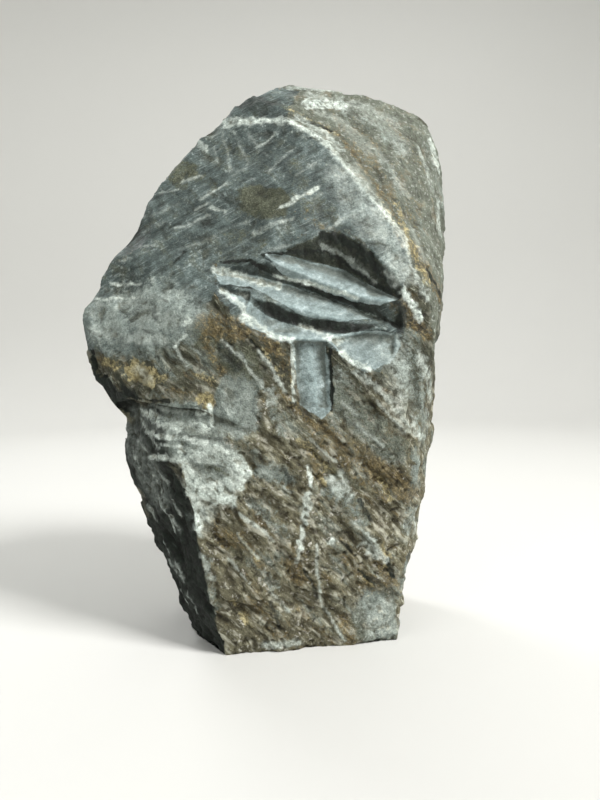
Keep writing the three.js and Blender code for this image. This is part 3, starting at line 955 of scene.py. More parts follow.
@dataclass
class Surface:
    """The stone's surface as numbers: its points and outward normals, in millimetres."""

    mesh: bpy.types.Mesh
    points: np.ndarray = field(init=False)
    normals: np.ndarray = field(init=False)

    def __post_init__(self) -> None:
        """Read the points and normals from the mesh."""
        count = len(self.mesh.vertices)
        points = np.empty(count * 3)
        normals = np.empty(count * 3)
        self.mesh.vertices.foreach_get("co", points)
        self.mesh.vertex_normals.foreach_get("vector", normals)
        self.points = points.reshape(-1, 3) / MM
        self.normals = normals.reshape(-1, 3)

    def write(self) -> None:
        """Write the points back into the mesh."""
        self.mesh.vertices.foreach_set("co", (self.points * MM).astype(np.float32).ravel())
        self.mesh.update()

    def neighbours(self, values: np.ndarray, times: int = 1) -> np.ndarray:
        """Average values over each point's neighbours.

        Args:
            values: one value, or one row of values, for each point.
            times: how often the averaging is repeated.

        Returns:
            The averaged values.
        """
        count = len(self.points)
        pairs = np.empty(len(self.mesh.edges) * 2, np.int64)
        self.mesh.edges.foreach_get("vertices", pairs)
        first, second = pairs.reshape(-1, 2).T
        ends, others = np.concatenate([first, second]), np.concatenate([second, first])
        degree = np.maximum(np.bincount(ends, minlength=count), 1)
        columns = np.array(values, float).reshape(count, -1)
        for _ in range(times):
            sums = [np.bincount(ends, column[others], count) for column in columns.T]
            columns = np.array(sums).T / degree[:, None]
        return columns.reshape(np.shape(values))

    def hollowness(self, times: int) -> np.ndarray:
        """Measure how far each point lies behind its neighbours' average, in millimetres."""
        return ((self.neighbours(self.points, times) - self.points) * self.normals).sum(1)

    def store(self, name: str, values: np.ndarray) -> None:
        """Keep one value for each point as a mesh attribute."""
        layer = self.mesh.attributes.new(name, "FLOAT", "POINT")
        layer.data.foreach_set("value", values.astype(np.float32))


@dataclass
class Marks:
    """How much of each tone every point of the surface has, and how the marks stand out."""

    surface: Surface
    tracer: Tracer
    shares: dict[Tone, np.ndarray] = field(default_factory=dict)
    relief: np.ndarray = field(init=False)

    def __post_init__(self) -> None:
        """Start with the tones that follow the stone's form, and lay the drawn marks over them."""
        points, normals = self.surface.points, self.surface.normals
        even = self.surface.neighbours(normals, times=12)
        even /= np.linalg.norm(even, axis=1, keepdims=True)
        self.relief = np.zeros(len(points))
        for tone in Tone:
            self.shares[tone] = np.zeros(len(points))
        self.hidden_sides(points, even)
        for side in Side:
            self.draw(side, points, smooth_step(even[:, 1] * side.value, low=0.05, high=0.3))

    def hidden_sides(self, points: np.ndarray, even: np.ndarray) -> None:
        """Lay the tones of the flanks, the top and the back, with painted shade on the left flank.

        Args:
            points: the surface's points.
            even: its normals, averaged over small roughness.
        """
        drift = bumps(points, size=62, seed=11, octaves=4)
        away = smooth_step(even[:, 1], low=-0.33, high=-0.03)
        behind = smooth_step(even[:, 1], low=0.75, high=0.4)
        split = smooth_step(drift, low=0.02, high=0.14)
        self.shares[Tone.BLUE] = away * behind * split
        top = smooth_step(points[:, 2] + 30 * drift, low=190, high=225)
        right = smooth_step(points[:, 0], low=5, high=60)
        self.shares[Tone.CHEEK] = away * top * right
        # Painted shade on the left flank, strongest low down and towards the front, over the stone's own dark
        # rock there.
        left = smooth_step(even[:, 0], low=-0.3, high=-0.6) * smooth_step(even[:, 1], low=0.55, high=0.1)
        shade = points[:, 2] + 1.7 * (points[:, 1] + 25) + 60 * bumps(points, size=32, seed=14, octaves=4)
        self.shares[Tone.DARK] = left * smooth_step(shade, low=125, high=55)
        rust = smooth_step(bumps(points, size=31, seed=12, octaves=3), low=0.2, high=0.5)
        self.shares[Tone.RUST] = 0.7 * away * rust
        grey = smooth_step(bumps(points, size=40, seed=13, octaves=3), low=0.1, high=0.4)
        self.shares[Tone.GREY] = 0.8 * away * grey

    def draw(self, side: Side, points: np.ndarray, facing: np.ndarray) -> None:
        """Lay the marks of one broad side over what is there.

        Args:
            side: the side.
            points: the surface's points.
            facing: how far each point faces that side, from 0 to 1.
        """
        chosen = np.flatnonzero(facing > 0)
        near, facing = points[chosen], facing[chosen]
        spots = near[:, [0, 2]]
        coarse = bumps(near, size=6.5, seed=21, octaves=2)
        # How far each point looks down; facets marked under paint shade only there.
        down = smooth_step(self.surface.neighbours(self.surface.normals[:, 2], times=3), low=-0.2, high=-0.5)
        for facet in (patch for patch in FACETS if patch.side is side):
            ring, scale = self.laid(side, facet.outline)
            share = facing * facet.cover(spots, coarse, ring, scale)
            self.lay(facet.tone, chosen, share * down[chosen] if facet.under else share)
            LOG.debug("%s: %s", facet.part, facet.tone.value)
        fine = bumps(near, size=2.6, seed=22, octaves=2)
        sway = 0.9 if side is Side.FRONT else 3.5
        spots = spots + np.array([sway * bumps(near, size=11.0, seed=seed, octaves=2) for seed in (23, 24)]).T
        for streaks in (group for group in STREAKS if group.side is side):
            for line in streaks.lines:
                track, scale = self.laid(side, line.points)
                share = facing * line.cover(spots, fine, track, scale)
                self.lay(streaks.tone, chosen, share)
                self.relief[chosen] += line.relief * share
            LOG.debug("%s: %d strokes of %s", streaks.part, len(streaks.lines), streaks.tone.value)

    def laid(self, side: Side, points: Sequence[Spot]) -> tuple[np.ndarray, float]:
        """Give a mark's points as (x, z), and the size of its unit, in millimetres."""
        if side is Side.FRONT:
            return self.tracer.traced(points)
        return np.array(points, float), 1.0

    def lay(self, tone: Tone, chosen: np.ndarray, share: np.ndarray) -> None:
        """Add a mark's share of a tone to the chosen points, keeping the stronger of the two."""
        self.shares[tone][chosen] = np.maximum(self.shares[tone][chosen], share)


@dataclass(frozen=True)
class Bite:
    """A chip that is missing from an edge: its middle, how far it reaches and its depth, in millimetres."""

    middle: Triple
    reach: float
    depth: float

    def cut(self, points: np.ndarray) -> np.ndarray:
        """Work out how deep the bite is at each point."""
        away = np.linalg.norm(points - np.array(self.middle), axis=1) / self.reach
        return self.depth * np.clip(1.0 - away * away, 0.0, 1.0)


BITES: tuple[Bite, ...] = (
    Bite(middle=(-71.0, -20.0, 210.0), reach=17.0, depth=3.6),
    Bite(middle=(-62.0, -14.0, 226.0), reach=7.0, depth=1.5),
    Bite(middle=(-30.0, -10.0, 263.0), reach=8.0, depth=1.6),
    Bite(middle=(-90.0, -22.0, 180.0), reach=8.0, depth=1.4),
)


@dataclass(frozen=True)
class Mix:
    """How much of each kind of roughness a surface has."""

    slabs: float = 0.0
    flakes: float = 0.0
    grain: float = 0.0
    scoops: float = 0.0
    chips: float = 0.0
    pits: float = 0.0
    rasp: float = 0.0
    crumbs: float = 0.0
    splinters: float = 0.0

    def total(self, kinds: dict[str, np.ndarray]) -> np.ndarray:
        """Add up the kinds of roughness, each by its share."""
        return sum(share * kinds[name] for name, share in asdict(self).items() if share)


SKIN_MIX = Mix(slabs=1.0, flakes=1.0, grain=1.0, scoops=0.6, chips=0.5, pits=1.0)
MIXES: dict[Tone, Mix] = {
    Tone.BLUE: Mix(slabs=0.3, scoops=0.5, chips=0.35, rasp=1.0, crumbs=0.25),
    Tone.CHEEK: Mix(slabs=0.4, flakes=0.25, scoops=0.5, chips=0.5, crumbs=0.6),
    Tone.DARK: Mix(splinters=1.0),
    Tone.PALE: Mix(crumbs=0.8),
    Tone.FRESH: Mix(rasp=0.125, crumbs=0.25),
}


@dataclass(frozen=True)
class Relief:
    """How rough each kind of surface is, as depths and widths in millimetres.

    The edge height is how proud an edge stands where its nicks begin and where they are full.
    """

    slab: float = 1.7
    slab_size: tuple[float, float] = (8.5, 26.0)
    flake: float = 0.5
    flake_size: tuple[float, float] = (2.7, 14.0)
    grain: float = 0.5
    grain_size: Triple = (1.9, 5.0, 4.5)
    scoop: float = 1.5
    scoop_size: float = 15.0
    chip: float = 0.7
    chip_size: float = 5.5
    pit: float = 0.9
    pit_size: float = 3.0
    splinter: float = 1.1
    splinter_size: Triple = (4.0, 5.0, 17.0)
    rasp: float = 0.2
    rasp_size: Triple = (26.0, 6.0, 1.8)
    crumb: float = 0.4
    crumb_size: float = 1.9
    nick: float = 2.2
    nick_size: float = 8.5
    nick_gap: float = 20.0
    edge_height: tuple[float, float] = (0.3, 0.9)

    def depth(self, surface: Surface, marks: Marks) -> np.ndarray:
        """Work out how far each point stands out of the plain solid.

        Args:
            surface: the stone's surface.
            marks: its tones.

        Returns:
            A distance along the normal for each point, in millimetres.
        """
        kinds = self.kinds(surface.points)
        shares = self.bared(marks.shares)
        skin = np.clip(1 - shares[Tone.BLUE] - shares[Tone.CHEEK] - shares[Tone.FRESH], 0, 1)
        skin *= 1 - 0.6 * shares[Tone.GREY]
        skin *= 1 - 0.4 * smooth_step(surface.points[:, 2], low=85, high=125)
        depth = skin * SKIN_MIX.total(kinds)
        for tone, mix in MIXES.items():
            depth += shares[tone] * mix.total(kinds)
        depth -= (1 - shares[Tone.FRESH]) * self.nicks(surface)
        return depth + marks.relief

    def bared(self, shares: dict[Tone, np.ndarray]) -> dict[Tone, np.ndarray]:
        """Take from each broad tone what a fresher one covers."""
        rest = 1 - shares[Tone.FRESH]
        blue = shares[Tone.BLUE] * rest
        cheek = shares[Tone.CHEEK] * (1 - blue) * rest
        return shares | {Tone.BLUE: blue, Tone.CHEEK: cheek, Tone.DARK: shares[Tone.DARK] * rest}

    def kinds(self, points: np.ndarray) -> dict[str, np.ndarray]:
        """Work out every kind of roughness at full strength.

        Args:
            points: the surface's points.

        Returns:
            The height of each kind at each point, in millimetres, by its name in a Mix.
        """
        bed = turned(points, BEDS)
        tilted = turned(points, RASP_RELIEF)
        return {
            "slabs": self.slab * strata(bed, *self.slab_size, seed=1),
            "flakes": self.flake * strata(bed, *self.flake_size, seed=5),
            "grain": self.grain * bumps(bed, self.grain_size, seed=2, octaves=2),
            "scoops": self.scoop * (scoops(points, self.scoop_size, seed=3) - SCOOP_MIDDLE),
            "chips": self.chip * (scoops(points, self.chip_size, seed=4) - SCOOP_MIDDLE),
            "pits": -self.pit * smooth_step(bumps(points, self.pit_size, seed=4), low=-0.28, high=-0.5),
            "crumbs": self.crumb * bumps(points, self.crumb_size, seed=5, octaves=2),
            "splinters": self.splinter * bumps(points, self.splinter_size, seed=6, octaves=3),
            "rasp": self.rasp * bumps(tilted, self.rasp_size, seed=7, octaves=2),
        }

    def nicks(self, surface: Surface) -> np.ndarray:
        """Work out how much has chipped off the sharp edges.

        Args:
            surface: the stone's surface.

        Returns:
            A depth for each point, in millimetres.
        """
        points = surface.points
        proud = -surface.hollowness(times=30)
        chosen = np.flatnonzero(proud > self.edge_height[0])
        edge = points[chosen]
        patches = smooth_step(bumps(edge, self.nick_gap, seed=9, octaves=2), low=-0.1, high=0.2)
        here = smooth_step(proud[chosen], *self.edge_height) * patches
        depth = np.zeros(len(points))
        depth[chosen] = self.nick * here * np.clip(1.0 - scoops(edge, self.nick_size, seed=8), 0.0, 1.0)
        return depth + sum(bite.cut(points) for bite in BITES)


@dataclass
class SoapstoneBlock:
    """The stone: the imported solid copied, made even, roughened, marked and thinned.

    Voxels and the sawn height are in millimetres. The foot's turn is the upward part of a normal where
    the relief begins and where it is full. A tone that changes by the spared change keeps its points.
    """

    viewpoint: Viewpoint
    voxel: float = 0.75
    quick_voxel: float = 1.7
    most_triangles: int = 192_000
    spared_change: float = 0.07
    sawn_height: float = 0.5
    foot_turn: tuple[float, float] = (-0.97, -0.75)
    merge_gap: float = 1e-6
    # Shares of fine and broad hollowness in the measure that places the painted shade and highlights.
    fine_wear: float = 2.6
    broad_wear: float = 0.25
    relief: Relief = field(default_factory=Relief)

    def build(self) -> bpy.types.Object:
        """Build and dress the stone.

        Returns:
            The finished piece.
        """
        piece = self.copied(frame["nodes"][NODE])
        self.remeshed(piece)
        surface = Surface(piece.data)
        marks = Marks(surface, Tracer(self.viewpoint, frame["nodes"][NODE].data))
        self.roughened(surface, marks)
        for tone, shares in marks.shares.items():
            surface.store(tone.value, shares)
        self.thinned(piece, surface, marks)
        self.weathered(piece)
        bpy.ops.object.select_all(action="DESELECT")
        piece.select_set(True)
        bpy.context.view_layer.objects.active = piece
        bpy.ops.object.shade_smooth()
        piece.data.materials.clear()
        piece.data.materials.append(SoapstoneFinish().material())
        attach(piece, "root")
        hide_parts(NODE)
        return piece

    def copied(self, node: bpy.types.Object) -> bpy.types.Object:
        """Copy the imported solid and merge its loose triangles.

        Args:
            node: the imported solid.

        Returns:
            The copy, as one closed mesh.
        """
        bpy.ops.object.select_all(action="DESELECT")
        node.select_set(True)
        bpy.context.view_layer.objects.active = node
        bpy.ops.object.duplicate()
        piece = bpy.context.view_layer.objects.active
        piece.name = PIECE
        piece.data.name = PIECE
        piece.parent = None
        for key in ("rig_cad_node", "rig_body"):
            if key in piece:
                del piece[key]
        bpy.ops.object.mode_set(mode="EDIT")
        bpy.ops.mesh.select_all(action="SELECT")
        bpy.ops.mesh.remove_doubles(threshold=self.merge_gap)
        bpy.ops.mesh.normals_make_consistent(inside=False)
        bpy.ops.object.mode_set(mode="OBJECT")
        return piece

    def remeshed(self, piece: bpy.types.Object) -> None:
        """Give the copy an even mesh."""
        voxel = self.voxel
        remesh = piece.modifiers.new("even", "REMESH")
        remesh.mode = "VOXEL"
        remesh.voxel_size = voxel * MM
        bpy.ops.object.modifier_apply(modifier=remesh.name)
        self.cleared(piece)

    def cleared(self, piece: bpy.types.Object) -> None:
        """Delete every crumb that the even mesh has left beside the stone."""
        heights = [corner.co.z for corner in piece.data.vertices]
        bpy.ops.object.mode_set(mode="EDIT")
        bpy.ops.mesh.select_all(action="DESELECT")
        bpy.ops.object.mode_set(mode="OBJECT")
        piece.data.vertices[int(np.argmax(heights))].select = True
        bpy.ops.object.mode_set(mode="EDIT")
        bpy.ops.mesh.select_linked()
        bpy.ops.mesh.select_all(action="INVERT")
        bpy.ops.mesh.delete(type="VERT")
        bpy.ops.object.mode_set(mode="OBJECT")

    def roughened(self, surface: Surface, marks: Marks) -> None:
        """Move the surface in and out, leaving the sawn foot flat.

        Args:
            surface: the stone's surface.
            marks: its tones.
        """
        sawn = surface.points[:, 2] < self.sawn_height
        free = smooth_step(surface.normals[:, 2], *self.foot_turn)
        depth = free * self.relief.depth(surface, marks)
        surface.points += depth[:, None] * surface.normals
        surface.points[:, 2] = np.where(sawn, 0.0, np.maximum(surface.points[:, 2], 0.0))
        surface.write()

    def thinned(self, piece: bpy.types.Object, surface: Surface, marks: Marks) -> None:
        """Thin the mesh to the most triangles it may have, sparing every point where a tone changes.

        Args:
            piece: the stone.
            surface: its surface.
            marks: its tones.
        """
        piece.data.calc_loop_triangles()
        count = len(piece.data.loop_triangles)
        if count <= self.most_triangles:
            return
        change = sum(np.abs(share - surface.neighbours(share, times=2)) for share in marks.shares.values())
        plain = piece.vertex_groups.new(name="plain")
        plain.add(np.flatnonzero(change < self.spared_change).tolist(), 1.0, "REPLACE")
        thin = piece.modifiers.new("thin", "DECIMATE")
        thin.ratio = self.most_triangles / count
        thin.vertex_group = plain.name
        bpy.ops.object.modifier_apply(modifier=thin.name)
        piece.vertex_groups.clear()

    def weathered(self, piece: bpy.types.Object) -> None:
        """Keep how hollow or proud each point is, for the painted shade in the hollows and the painted
        highlights on the edges.
        """
        surface = Surface(piece.data)
        fine, broad = surface.hollowness(times=4), surface.hollowness(times=24)
        surface.store(HOLLOW, np.clip(self.fine_wear * fine + self.broad_wear * broad, -1, 1))


class Value:
    """A shader number that takes part in Python sums."""

    def __init__(self, recipe: "Recipe", socket: bpy.types.NodeSocket) -> None:
        """Wrap a socket of a recipe."""
        self.recipe = recipe
        self.socket = socket

    def __add__(self, other: "Value | float") -> "Value":
        """Add."""
        return self.recipe.math("ADD", self, other)

    __radd__ = __add__

    def __sub__(self, other: "Value | float") -> "Value":
        """Subtract."""
        return self.recipe.math("SUBTRACT", self, other)

    def __rsub__(self, other: "Value | float") -> "Value":
        """Subtract this from a number."""
        return self.recipe.math("SUBTRACT", other, self)

    def __mul__(self, other: "Value | float") -> "Value":
        """Multiply."""
        return self.recipe.math("MULTIPLY", self, other)

    __rmul__ = __mul__

    def __abs__(self) -> "Value":
        """Leave the sign out."""
        return self.recipe.math("ABSOLUTE", self, 0.0)

    def clamped(self) -> "Value":
        """Keep the number between 0 and 1."""
        return self.recipe.math("ADD", self, 0.0, clamp=True)


Socket = bpy.types.NodeSocket
Input = Value | Socket | float | tuple | None


class Recipe:
    """A material's nodes, added one by one."""

    def __init__(self, name: str) -> None:
        """Start an empty material."""
        self.made = bpy.data.materials.new(name)
        self.made.use_nodes = True
        self.nodes = self.made.node_tree.nodes
        self.links = self.made.node_tree.links
        self.nodes.clear()

    def node(self, kind: str, settings: dict | None = None, **inputs: Input) -> bpy.types.Node:
        """Add a node.

        Args:
            kind: the node's type.
            settings: its settings, set before its sockets are.
            inputs: the values or links of its sockets, by name with _ for a space, or by number
                after an i.

        Returns:
            The node.
        """
        made = self.nodes.new(kind)
        for name, value in (settings or {}).items():
            setattr(made, name, value)
        for name, value in inputs.items():
            numbered = name[0] == "i" and name[1:].isdigit()
            socket = made.inputs[int(name[1:])] if numbered else made.inputs[name.replace("_", " ")]
            self.feed(socket, value)
        return made

    def feed(self, socket: Socket, value: Input) -> None:
        """Set a socket to a value, or link it."""
        if isinstance(value, Value):
            self.links.new(value.socket, socket)
        elif isinstance(value, Socket):
            self.links.new(value, socket)
        elif value is not None:
            socket.default_value = value

    def math(self, operation: str, first: Input, second: Input, clamp: bool = False) -> Value:
        """Add a Math node.

        Args:
            operation: what it does.
            first: its first number.
            second: its second number.
            clamp: whether the result is kept between 0 and 1.

        Returns:
            The result.
        """
        settings = {"operation": operation, "use_clamp": clamp}
        return Value(self, self.node("ShaderNodeMath", settings, i0=first, i1=second).outputs[0])

    def vector(self, operation: str, result: str = "Vector", **inputs: Input) -> Socket:
        """Add a Vector Math node.

        Args:
            operation: what it does.
            result: the name of the output that is wanted.
            inputs: the values or links of its sockets.

        Returns:
            The result.
        """
        return self.node("ShaderNodeVectorMath", {"operation": operation}, **inputs).outputs[result]

    def attribute(self, name: str) -> Value:
        """Read one of the mesh's attributes."""
        return Value(self, self.node("ShaderNodeAttribute", {"attribute_name": name}).outputs["Fac"])

    def noise(self, place: Socket, size: float, detail: float, roughness: float) -> bpy.types.Node:
        """Add a noise texture.

        Args:
            place: where it is read.
            size: how wide its lumps are, in the unit of place.
            detail: how many finer layers it has.
            roughness: how strong those are.

        Returns:
            The node.
        """
        return self.node("ShaderNodeTexNoise", {"noise_dimensions": "3D"}, Vector=place,
                         Scale=1.0 / size, Detail=detail, Roughness=roughness)

    def cloud(self, place: Socket, size: float, detail: float, roughness: float, lift: float = 0.0) -> Value:
        """Read a noise as a number.

        Args:
            place: where it is read.
            size: how wide its lumps are, in the unit of place.
            detail: how many finer layers it has.
            roughness: how strong those are.
            lift: how far it is moved, to make it unlike another.

        Returns:
            A value around one half.
        """
        if lift:
            place = self.vector("ADD", i0=place, i1=(lift, 0.7 * lift, -lift))
        return Value(self, self.noise(place, size, detail, roughness).outputs["Fac"])

    def band(self, place: Socket, axes: Sequence[Sequence[float]], sizes: Triple, detail: float,
             roughness: float, lift: float = 0.0) -> Value:
        """Read a noise whose lumps are stretched along three axes.

        Args:
            place: where it is read, in millimetres.
            axes: the three directions.
            sizes: how wide a lump is along each, in millimetres.
            detail: how many finer layers it has.
            roughness: how strong those are.
            lift: how far it is moved, to make it unlike another.

        Returns:
            A value around one half.
        """
        parts = {}
        for number, (axis, width) in enumerate(zip(axes, sizes)):
            scaled = tuple(float(component) / width for component in axis)
            parts[f"i{number}"] = self.vector("DOT_PRODUCT", "Value", i0=place, i1=scaled)
        stretched = self.node("ShaderNodeCombineXYZ", None, **parts).outputs[0]
        return self.cloud(stretched, 1.0, detail, roughness, lift)

    def eased(self, value: Input, low: float, high: float) -> Value:
        """Ease a number from 0 to 1 as it goes from low to high."""
        settings = {"interpolation_type": "SMOOTHSTEP"}
        made = self.node("ShaderNodeMapRange", settings, Value=value, From_Min=low, From_Max=high)
        return Value(self, made.outputs["Result"])

    def height(self, place: Socket) -> Value:
        """Read how high a place is."""
        return Value(self, self.node("ShaderNodeSeparateXYZ", None, i0=place).outputs[2])

    def drifted(self, place: Socket, size: float, reach: float) -> Socket:
        """Move a place by a slow noise, so that what is read there wanders.

        Args:
            place: the place.
            size: how wide the noise's lumps are.
            reach: how far it moves a place.

        Returns:
            The moved place.
        """
        slow = self.noise(place, size, detail=1.0, roughness=0.5).outputs["Color"]
        centred = self.vector("SUBTRACT", i0=slow, i1=(0.5, 0.5, 0.5))
        step = self.vector("SCALE", i0=centred, Scale=2 * reach)
        return self.vector("ADD", i0=place, i1=step)

    def swatch(self, value: Input, shades: Sequence[str]) -> Socket:
        """Turn a number from 0 to 1 into a colour between evenly set shades.

        Args:
            value: the number.
            shades: the colours, the first a little above 0 and the last a little below 1.

        Returns:
            The colour.
        """
        margin, last = 0.06, len(shades) - 1
        made = self.node("ShaderNodeValToRGB", None, Fac=value)
        stops = made.color_ramp.elements
        while len(stops) < len(shades):
            stops.new(0.5)
        for number, (stop, shade) in enumerate(zip(stops, shades)):
            stop.position = margin + (1 - 2 * margin) * number / last
            stop.color = paint(shade)
        return made.outputs["Color"]

    def mixed(self, share: Input, under: Input, over: Input, blend: str = "MIX") -> Socket:
        """Mix two colours.

        Args:
            share: how much of the second there is.
            under: the first colour.
            over: the second colour.
            blend: how they are mixed.

        Returns:
            The colour.
        """
        settings = {"data_type": "RGBA", "blend_type": blend, "clamp_factor": True}
        return self.node("ShaderNodeMix", settings, i0=share, i6=under, i7=over).outputs[2]


def paint(shade: str) -> tuple[float, float, float, float]:
    """Turn a screen colour such as 6f7a78 into the shader's linear red, green, blue and alpha."""
    parts = [int(shade[k : k + 2], 16) / 255 for k in (0, 2, 4)]
    linear = [c / 12.92 if c <= 0.04045 else ((c + 0.055) / 1.055) ** 2.4 for c in parts]
    return (linear[0], linear[1], linear[2], 1.0)


class Grains:
    """The noises that the stone's colours and its finest relief share, each around one half.

    They are read at still, the place in millimetres, or at place, the same with a slow drift. The
    fleck is no noise but a mask of small flecks.
    """

    def __init__(self, recipe: Recipe) -> None:
        """Add the noises to a recipe."""
        self.recipe = recipe
        object_place = recipe.node("ShaderNodeTexCoord").outputs["Object"]
        still = recipe.vector("SCALE", i0=object_place, Scale=1 / MM)
        place = recipe.drifted(still, size=26.0, reach=4.0)
        self.still = still
        self.place = place
        self.streak = recipe.band(place, BEDS, (4.5, 26.0, 20.0), detail=6.0, roughness=0.66)
        self.weave = recipe.band(place, BEDS, (1.5, 8.0, 6.0), detail=4.0, roughness=0.7, lift=3.3)
        self.stain = recipe.band(place, BEDS, (3.6, 17.0, 13.0), detail=5.0, roughness=0.66, lift=21.0)
        self.scrape = recipe.band(still, RASP_COLOUR, (12.0, 6.0, 2.4), detail=5.0, roughness=0.7)
        self.grain = recipe.cloud(still, size=1.2, detail=2.0, roughness=0.7)
        self.sand = recipe.cloud(still, size=0.75, detail=2.0, roughness=0.8, lift=27.0)
        self.mottle = recipe.cloud(still, size=2.6, detail=4.0, roughness=0.7, lift=6.0)
        self.middle = recipe.cloud(place, size=7.5, detail=6.0, roughness=0.66, lift=2.0)
        self.broad = recipe.cloud(place, size=24.0, detail=3.0, roughness=0.5, lift=9.0)
        speck = recipe.cloud(still, size=1.8, detail=1.0, roughness=0.5, lift=17.0)
        self.fleck = recipe.eased(speck, 0.58, 0.70)

    def total(self, **shares: float) -> Value:
        """Sum noises by their shares, given by name."""
        return sum(share * vars(self)[name] for name, share in shares.items())

    def spread(self, contrast: float, **shares: float) -> Value:
        """Sum noises by their shares and stretch the sum around one half, to fill the way from 0 to 1."""
        return (contrast * (self.total(**shares) - 0.5) + 0.5).clamped()


@dataclass(frozen=True)
class Coat:
    """How a tone is laid over the stone.

    Noise moves its edge by fray, and its share shows from low on and wholly from high on.
    """

    tone: Tone
    strength: float = 1.0
    fray: float = 4.0
    low: float = 0.3
    high: float = 0.7

    def share(self, recipe: Recipe, edge: Value) -> Value:
        """Read the tone's share from the mesh and fray its edge with noise around one half."""
        drawn = recipe.attribute(self.tone.value)
        frayed = recipe.eased(drawn + self.fray * (edge - 0.5), self.low, self.high)
        return self.strength * frayed * recipe.eased(drawn, 0.0, 0.12)


COATS: tuple[Coat, ...] = (
    Coat(Tone.BLUE),
    Coat(Tone.CHEEK),
    Coat(Tone.GREY, strength=0.85, fray=3.5, low=0.15, high=0.85),
    Coat(Tone.FILM, strength=0.95, fray=3.5, low=0.15, high=0.85),
    Coat(Tone.RUST, strength=0.75, low=0.2, high=0.85),
    Coat(Tone.OCHRE, strength=0.85, low=0.2, high=0.85),
    Coat(Tone.DARK, fray=1.6, low=0.05, high=0.75),
    Coat(Tone.FRESH, fray=1.5),
)

Palette = tuple[str, ...]
Colour = tuple[float, float, float, float]


